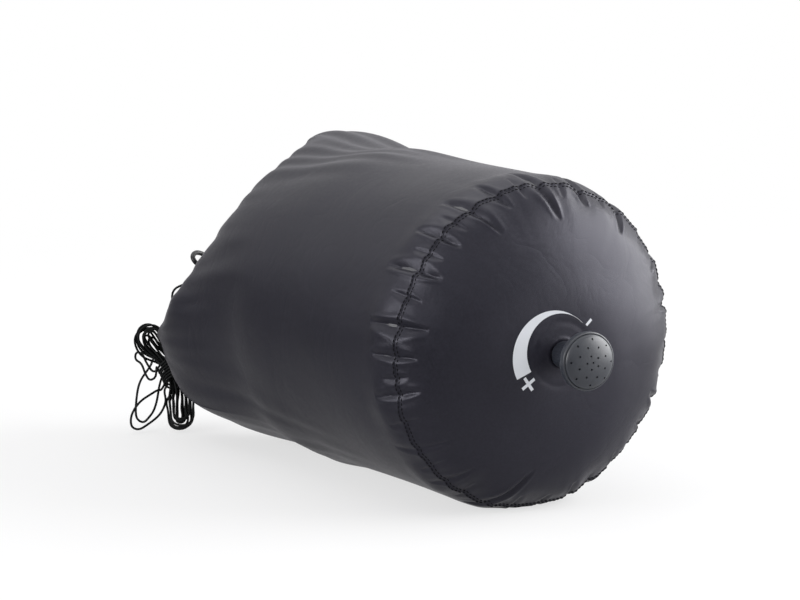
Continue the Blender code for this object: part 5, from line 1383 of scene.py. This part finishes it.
def hank_loops():
    """One cord wound in flat spirals, in and out by turns, each spiral a layer: (along, across, towards).

    A loop is a run down, a half circle, a run up and a half circle. It is nested by its place in its spiral
    and drawn in at the waist. Sines of the turn whose steps fit no whole number make each loop a little
    unlike the next.
    """
    turn = HANK_START_SHARE + np.arange(int(round(HANK_LOOPS_SHARE * POINTS_A_LOOP)) + 1) / POINTS_A_LOOP
    spiral = HANK_SPIRAL_SHARE

    def nest(spot):
        return np.abs((spot / spiral + 1) % 2 - 1) * spiral

    depth = nest(np.maximum(turn, 0))
    change = np.round(turn / spiral)
    climb = smoothstep((turn - change * spiral) / HANK_CLIMB_SHARE + 1 / 2)
    layer = np.clip(change - 1 + climb, 0, HANK_LAYERS - 1) - (HANK_LAYERS - 1) / 2

    end_points = POINTS_A_LOOP // 2 - POINTS_A_RUN
    first = end_points / 2
    count = (turn % 1) * POINTS_A_LOOP
    down = (count >= first) & (count < first + POINTS_A_RUN)
    bottom = (count >= first + POINTS_A_RUN) & (count < first + POINTS_A_RUN + end_points)
    up = (count >= first + POINTS_A_RUN + end_points) & (count < POINTS_A_LOOP - first)
    bow = math.pi / end_points
    around = np.where(count < first, math.pi / 2 + count * bow, math.pi / 2 - (POINTS_A_LOOP - count) * bow)
    around = np.where(bottom, (count - first - POINTS_A_RUN) * bow, around)
    side = np.where(down, -1, np.where(up, 1, np.where(bottom, -np.cos(around), np.cos(around))))
    run_share = np.where(down, (count - first) / POINTS_A_RUN, 0.0)
    run_share = np.where(bottom, 1.0, run_share)
    run_share = np.where(up, 1 - (count - first - POINTS_A_RUN - end_points) / POINTS_A_RUN, run_share)
    past_end = np.where(down | up, 0.0, np.sin(around)) * np.where(bottom, 1, -1)

    along = HANK_TOP + HANK_TOP_PITCH * HANK_WIDTH_SHARE + run_share * HANK_RUN
    waist = smoothstep((HANK_WAIST_HALF + HANK_WAIST_RAMP - np.abs(along - HANK_WAIST)) / HANK_WAIST_RAMP)
    open_pitch = HANK_TOP_PITCH + (HANK_BOTTOM_PITCH - HANK_TOP_PITCH) * run_share
    pitch = open_pitch * (1 - waist) + HANK_WAIST_PITCH * waist
    half_width = pitch * (HANK_WIDTH_SHARE - depth)
    along = along + past_end * half_width
    layer_step = HANK_LAYER_STEP * (1 - waist) + HANK_WAIST_LAYER_STEP * waist
    middle = np.floor(turn) + np.where(turn % 1 < 1 / 2, 1 / 4, 3 / 4)
    zigzag = HANK_WAIST_ZIGZAG * waist * np.sign(np.sin(math.pi * nest(middle)))
    loose = 1 - waist
    bottom_reach = HANK_UNEVEN * np.sin(2.1 * np.floor(turn) + 0.5) * run_share**2
    top_reach = HANK_UNEVEN * np.sin(1.7 * np.round(turn) + 1.1) * (1 - run_share) ** 2
    along = along + bottom_reach + top_reach
    shift = layer * open_pitch * (HANK_LAYER_SHIFT_SHARE - HANK_LAYER_SHIFT_SHARE / 2 * run_share)
    shift += HANK_STRAY * np.sin(5.3 * turn + 5 * run_share)
    lift = HANK_STRAY * np.sin(3.7 * turn + 2.0 + 4 * run_share)
    across = half_width * side + shift * loose
    return np.stack([along, across, layer * layer_step + zigzag + lift * loose], axis=1)


def hank_wraps(last):
    """The same cord rises out of its layer and winds round the drawn-in waist."""
    step = np.arange(1, int(WRAP_TURNS_SHARE * POINTS_A_WRAP) + 1)
    rise = np.minimum(step / 2, 1)
    across = last[1] * (1 - np.minimum(step, 1))
    towards = last[2] + (WRAP_RADIUS - last[2]) * rise
    wound = np.maximum(step - 2, 0) / POINTS_A_WRAP
    spot = np.arctan2(towards, across) + wound * math.tau
    radius = np.hypot(across, towards)
    along = last[0] + WRAP_LEAD * rise + wound * WRAP_PITCH
    return np.stack([along, radius * np.cos(spot), radius * np.sin(spot)], axis=1)


def hank_points():
    """Carries the hank from its own frame onto its leaning middle line."""
    flat = hank_loops()
    flat = np.concatenate([flat, hank_wraps(flat[-1])])
    middle = smooth_curve(HANK_ROUTE, 200)
    marks = marks_along(middle)
    spot = np.clip(flat[:, 0], 0, marks[-1])
    beyond = (flat[:, 0] - spot)[:, None]
    centre = on_line(middle, marks, spot)
    forward = unit(on_line(np.gradient(middle, marks, axis=0), marks, spot))
    facing = np.array(HANK_FACING)
    across = unit(np.cross(facing, forward))
    across *= np.sign(across[:, :1])
    towards = np.cross(forward, across)
    towards *= np.sign(towards @ facing)[:, None]
    return centre + beyond * forward + flat[:, 1:2] * across + flat[:, 2:] * towards


def joined(start, towards, gap):
    """The first two points of a cord that carries on from another's end."""
    direction = unit(start - towards)
    return [start + direction * gap, start + direction * (gap + CORD_DIAMETER)]


def lead_points(hank):
    """The cord's first stretch: its short end, round the ring's bow, through the ferrule and to the hank."""
    bow = (RING_CENTRE + RING_REACH * RING_AXES[0]) @ BUCKLE_AXES
    centre = BUCKLE_PLACE + bow + np.array([0.0, 0.0, AXIS_HEIGHT])
    pull = np.array(LEAD_ROUTE[0]) - centre
    pull = unit(pull - (pull @ LOOP_WIDTH) * LOOP_WIDTH)
    side = np.cross(LOOP_WIDTH, pull)
    radius = RING_WIRE_RADIUS + 2 * GAP + CORD_DIAMETER / 2
    close = CORD_DIAMETER / 2 + GAP
    end = FERRULE_START + FERRULE_LENGTH + CORD_DIAMETER
    short = centre + pull * np.array([[end], [FERRULE_START]]) + side * close
    turns = np.linspace(LEAD_WRAP_TURN, -LEAD_WRAP_TURN, 9)[:, None]
    around = centre - pull * np.cos(turns) * radius + side * np.sin(turns) * radius
    held = [FERRULE_START, FERRULE_START + FERRULE_LENGTH / 2, end]
    straight = np.array([*held, end + CORD_DIAMETER, end + 2 * CORD_DIAMETER])
    long = centre + pull * straight[:, None] - side * close
    last = joined(hank[0], hank[1], GAP)[::-1]
    rest = smooth_curve([*long, *LEAD_ROUTE, *last], 200)
    return np.concatenate([resampled(short, LEAD_SHORT_STEP), around, resampled(rest, LEAD_STEP)])


def cord_surface(name, route):
    """A three-strand cord: a round section with three lobes that turn as it runs.

    The section's frame is carried along step by step, so that it doesn't spin at the bends.
    """
    path = resampled(smooth_curve(route, 12 * len(route)), CORD_STEP) - np.array([0.0, 0.0, AXIS_HEIGHT])
    ahead = unit(np.gradient(path, axis=0))
    side = np.zeros_like(path)
    carried = unit(np.cross(ahead[0], [0.3, 0.2, 0.9]))
    for number, way in enumerate(ahead):
        carried = unit(carried - (carried @ way) * way)
        side[number] = carried
    other = np.cross(ahead, side)
    run = (np.arange(len(path)) * CORD_STEP)[:, None]
    turns = np.linspace(0, math.tau, CORD_SIDES, endpoint=False)
    lobes = STRAND_HEIGHT * np.cos(STRAND_COUNT * (turns - run * math.tau / STRAND_PITCH))
    radius = CORD_DIAMETER / 2 * (CORD_FULLNESS + lobes)
    ring = np.cos(turns)[None, :, None] * side[:, None] + np.sin(turns)[None, :, None] * other[:, None]
    points = path[:, None] + radius[..., None] * ring
    wrapped = np.linspace(0, 1, CORD_SIDES + 1)[None, :] * CORD_DIAMETER * math.pi
    obj = grid_mesh(name, points, pairs(wrapped, run) * CORD_MAP_SCALE, wrap_columns=True, caps=True)
    turn_outwards(obj.data)
    return obj, path + SEAM


def hanging_cord():
    """The cord in its three stretches: from the ring to the hank, the hank, and the loose bights."""
    hank = hank_points()
    lead = lead_points(hank)
    lead[-1] += (hank[0] - lead[-1]) * LEAD_CLOSING_SHARE
    tail = smooth_curve([*joined(hank[-1], hank[-2], GAP), *TAIL_ROUTE], 400)
    for name, route, node, lay in (
        ("cord_lead_fine", lead, "cord_lead", "hanging"),
        ("cord_hank_fine", hank, "cord_hank", "coiled"),
        ("cord_tail_fine", resampled(tail, TAIL_STEP), "cord_tail", "loose"),
    ):
        obj, path = cord_surface(name, route)
        is_lead = node == "cord_lead"
        place(obj, CORD, None if is_lead else "root", [node], "cord")
        if is_lead:
            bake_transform(obj)


# Finishes of the model's own pieces that stay

NODE_FINISHES = {
    "seam_tape": TAPE,
    "side_tape": TAPE,
    "stiffener": STRIP,
    "webbing_tab_socket": WEBBING,
    "webbing_tab_plug": WEBBING,
    "ring_tab": WEBBING,
    "buckle_socket": MOULDED,
    "buckle_plug": MOULDED,
    "buckle_prong_upper": MOULDED,
    "buckle_prong_lower": MOULDED,
    "cord_ferrule": MOULDED,
    "outlet_body": MOULDED,
    "flange_gasket": RUBBER,
    "neck_oring": RUBBER,
    "stopper": MOULDED,
    "stopper_seal": RUBBER,
    "stopper_clip": MOULDED,
}


def finish_nodes():
    for name, finish in NODE_FINISHES.items():
        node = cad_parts[name]
        node.data.materials.clear()
        node.data.materials.append(finish)


# Studio

def camera_sees(tree):
    """1 for rays from the camera, straight or through glass, and the light path's outputs."""
    path = tree.add("LightPath").outputs
    return tree.math("MAXIMUM", path["Is Camera Ray"], path["Is Transmission Ray"]), path


def pale_floor():
    """A wide floor that the camera sees nearly white, with the bag's soft shadow near it.

    Reflections see a dimmer painted glow, fading to the left as if lit from the right; white all round turns
    the fabric grey.
    """
    bpy.ops.mesh.primitive_circle_add(vertices=96, radius=14.0, fill_type="NGON", location=(0, 0, -0.0004))
    floor = bpy.context.object
    floor.name = "studio_floor"
    made, tree, shader = new_finish("pale_floor")
    tree.fill(shader, {"Base Color": (0.86, 0.86, 0.87, 1.0), "Roughness": 0.9, "Specular IOR Level": 0.2})
    seen, path = camera_sees(tree)
    spot = tree.add("TexCoord").outputs["Object"]
    sideways = tree.add("SeparateXYZ", {0: spot}).outputs[0]
    reach = (-FLOOR_GLOSS_REACH, FLOOR_GLOSS_REACH)
    # Painted light: reflections see the floor glow brighter on the right, as if lit by the right-hand lamp.
    painted_reflection_glow = tree.ramp(sideways, reach, FLOOR_GLOSS_LEFT, FLOOR_GLOSS_RIGHT, "LINEAR")
    gloss = tree.math("MULTIPLY", path["Is Glossy Ray"], painted_reflection_glow)
    glow = tree.add("Emission", {"Color": (1.0, 1.0, 1.0, 1.0), "Strength": tree.math("ADD", seen, gloss)})
    away = tree.add("VectorMath", {0: spot}, operation="LENGTH").outputs["Value"]
    share = tree.math("MULTIPLY", seen, tree.ramp(away, FLOOR_GLOW_RISE, FLOOR_GLOW_NEAR, 1.0))
    share = tree.math("MAXIMUM", share, path["Is Glossy Ray"])
    mixed = tree.add("MixShader", {0: share, 1: shader.outputs[0], 2: glow.outputs[0]})
    tree.fill(made.node_tree.nodes["Material Output"], {"Surface": mixed.outputs[0]})
    floor.data.materials.append(made)


def surround():
    """White for the camera, and dimmer for the bag: plain all round, more overhead and on the right."""
    world = bpy.data.worlds.new("studio")
    bpy.context.scene.world = world
    world.use_nodes = True
    tree = Tree(world.node_tree)
    way = tree.add("SeparateXYZ", {0: tree.add("TexCoord").outputs["Generated"]}).outputs
    top = tree.ramp(way[2], STUDIO_TOP_RISE, 0.0, STUDIO_TOP)
    right = tree.ramp(way[0], STUDIO_RIGHT_RISE, STUDIO_PLAIN, STUDIO_RIGHT)
    strength = tree.math("MAXIMUM", camera_sees(tree)[0], tree.math("ADD", top, right))
    tree.fill(world.node_tree.nodes["Background"], {"Color": (1.0, 1.0, 1.0, 1.0), "Strength": strength})


def aimed(name, data, spot, aim):
    """Puts a lamp or a camera in the scene at a spot, turned to face its aim."""
    obj = bpy.data.objects.new(name, data)
    obj.location = spot
    obj.rotation_euler = (Vector(aim) - Vector(spot)).to_track_quat("-Z", "Y").to_euler()
    bpy.context.scene.collection.objects.link(obj)
    return obj


def area_light(name, spot, aim, size, energy):
    """A soft rectangular lamp."""
    lamp = bpy.data.lights.new(name, "AREA")
    lamp.shape = "RECTANGLE"
    lamp.size, lamp.size_y = size
    lamp.energy = energy
    aimed(name, lamp, spot, aim)


def studio():
    pale_floor()
    surround()
    area_light("top_softbox", (-0.2, 0.7, 2.0), aim=(0.0, 0.0, 0.10), size=(2.2, 1.4), energy=10.0)
    area_light("right_softbox", (1.7, -0.7, 0.8), aim=(0.0, -0.1, 0.10), size=(2.2, 1.8), energy=56.0)
    area_light("left_softbox", (-1.9, 0.0, 0.6), aim=(0.0, -0.15, 0.10), size=(1.2, 0.8), energy=15.0)
    bpy.context.scene.view_settings.view_transform = "Standard"


def camera():
    """A long lens at the photograph's angle, aimed at the fitted target."""
    back = np.array([
        math.sin(CAMERA_AZIMUTH) * math.cos(CAMERA_ELEVATION),
        -math.cos(CAMERA_AZIMUTH) * math.cos(CAMERA_ELEVATION),
        math.sin(CAMERA_ELEVATION),
    ])
    target = np.array(CAMERA_TARGET) + np.array([SEAM[0], SEAM[1], 0.0])
    lens = bpy.data.cameras.new("photo_camera")
    lens.sensor_width = CAMERA_SENSOR
    lens.lens = CAMERA_FOCAL_SHARE * CAMERA_SENSOR
    lens.clip_end = 60.0
    bpy.context.scene.camera = aimed("photo_camera", lens, target + back * CAMERA_DISTANCE, target)


camera()
studio()
hanging_cord()
tube_skin()
base_skin()
printed_dial()
seam_stitches()
side_seam()
roll_skin()
sleeve_and_head()
rose()
moulded_ring()
finish_nodes()
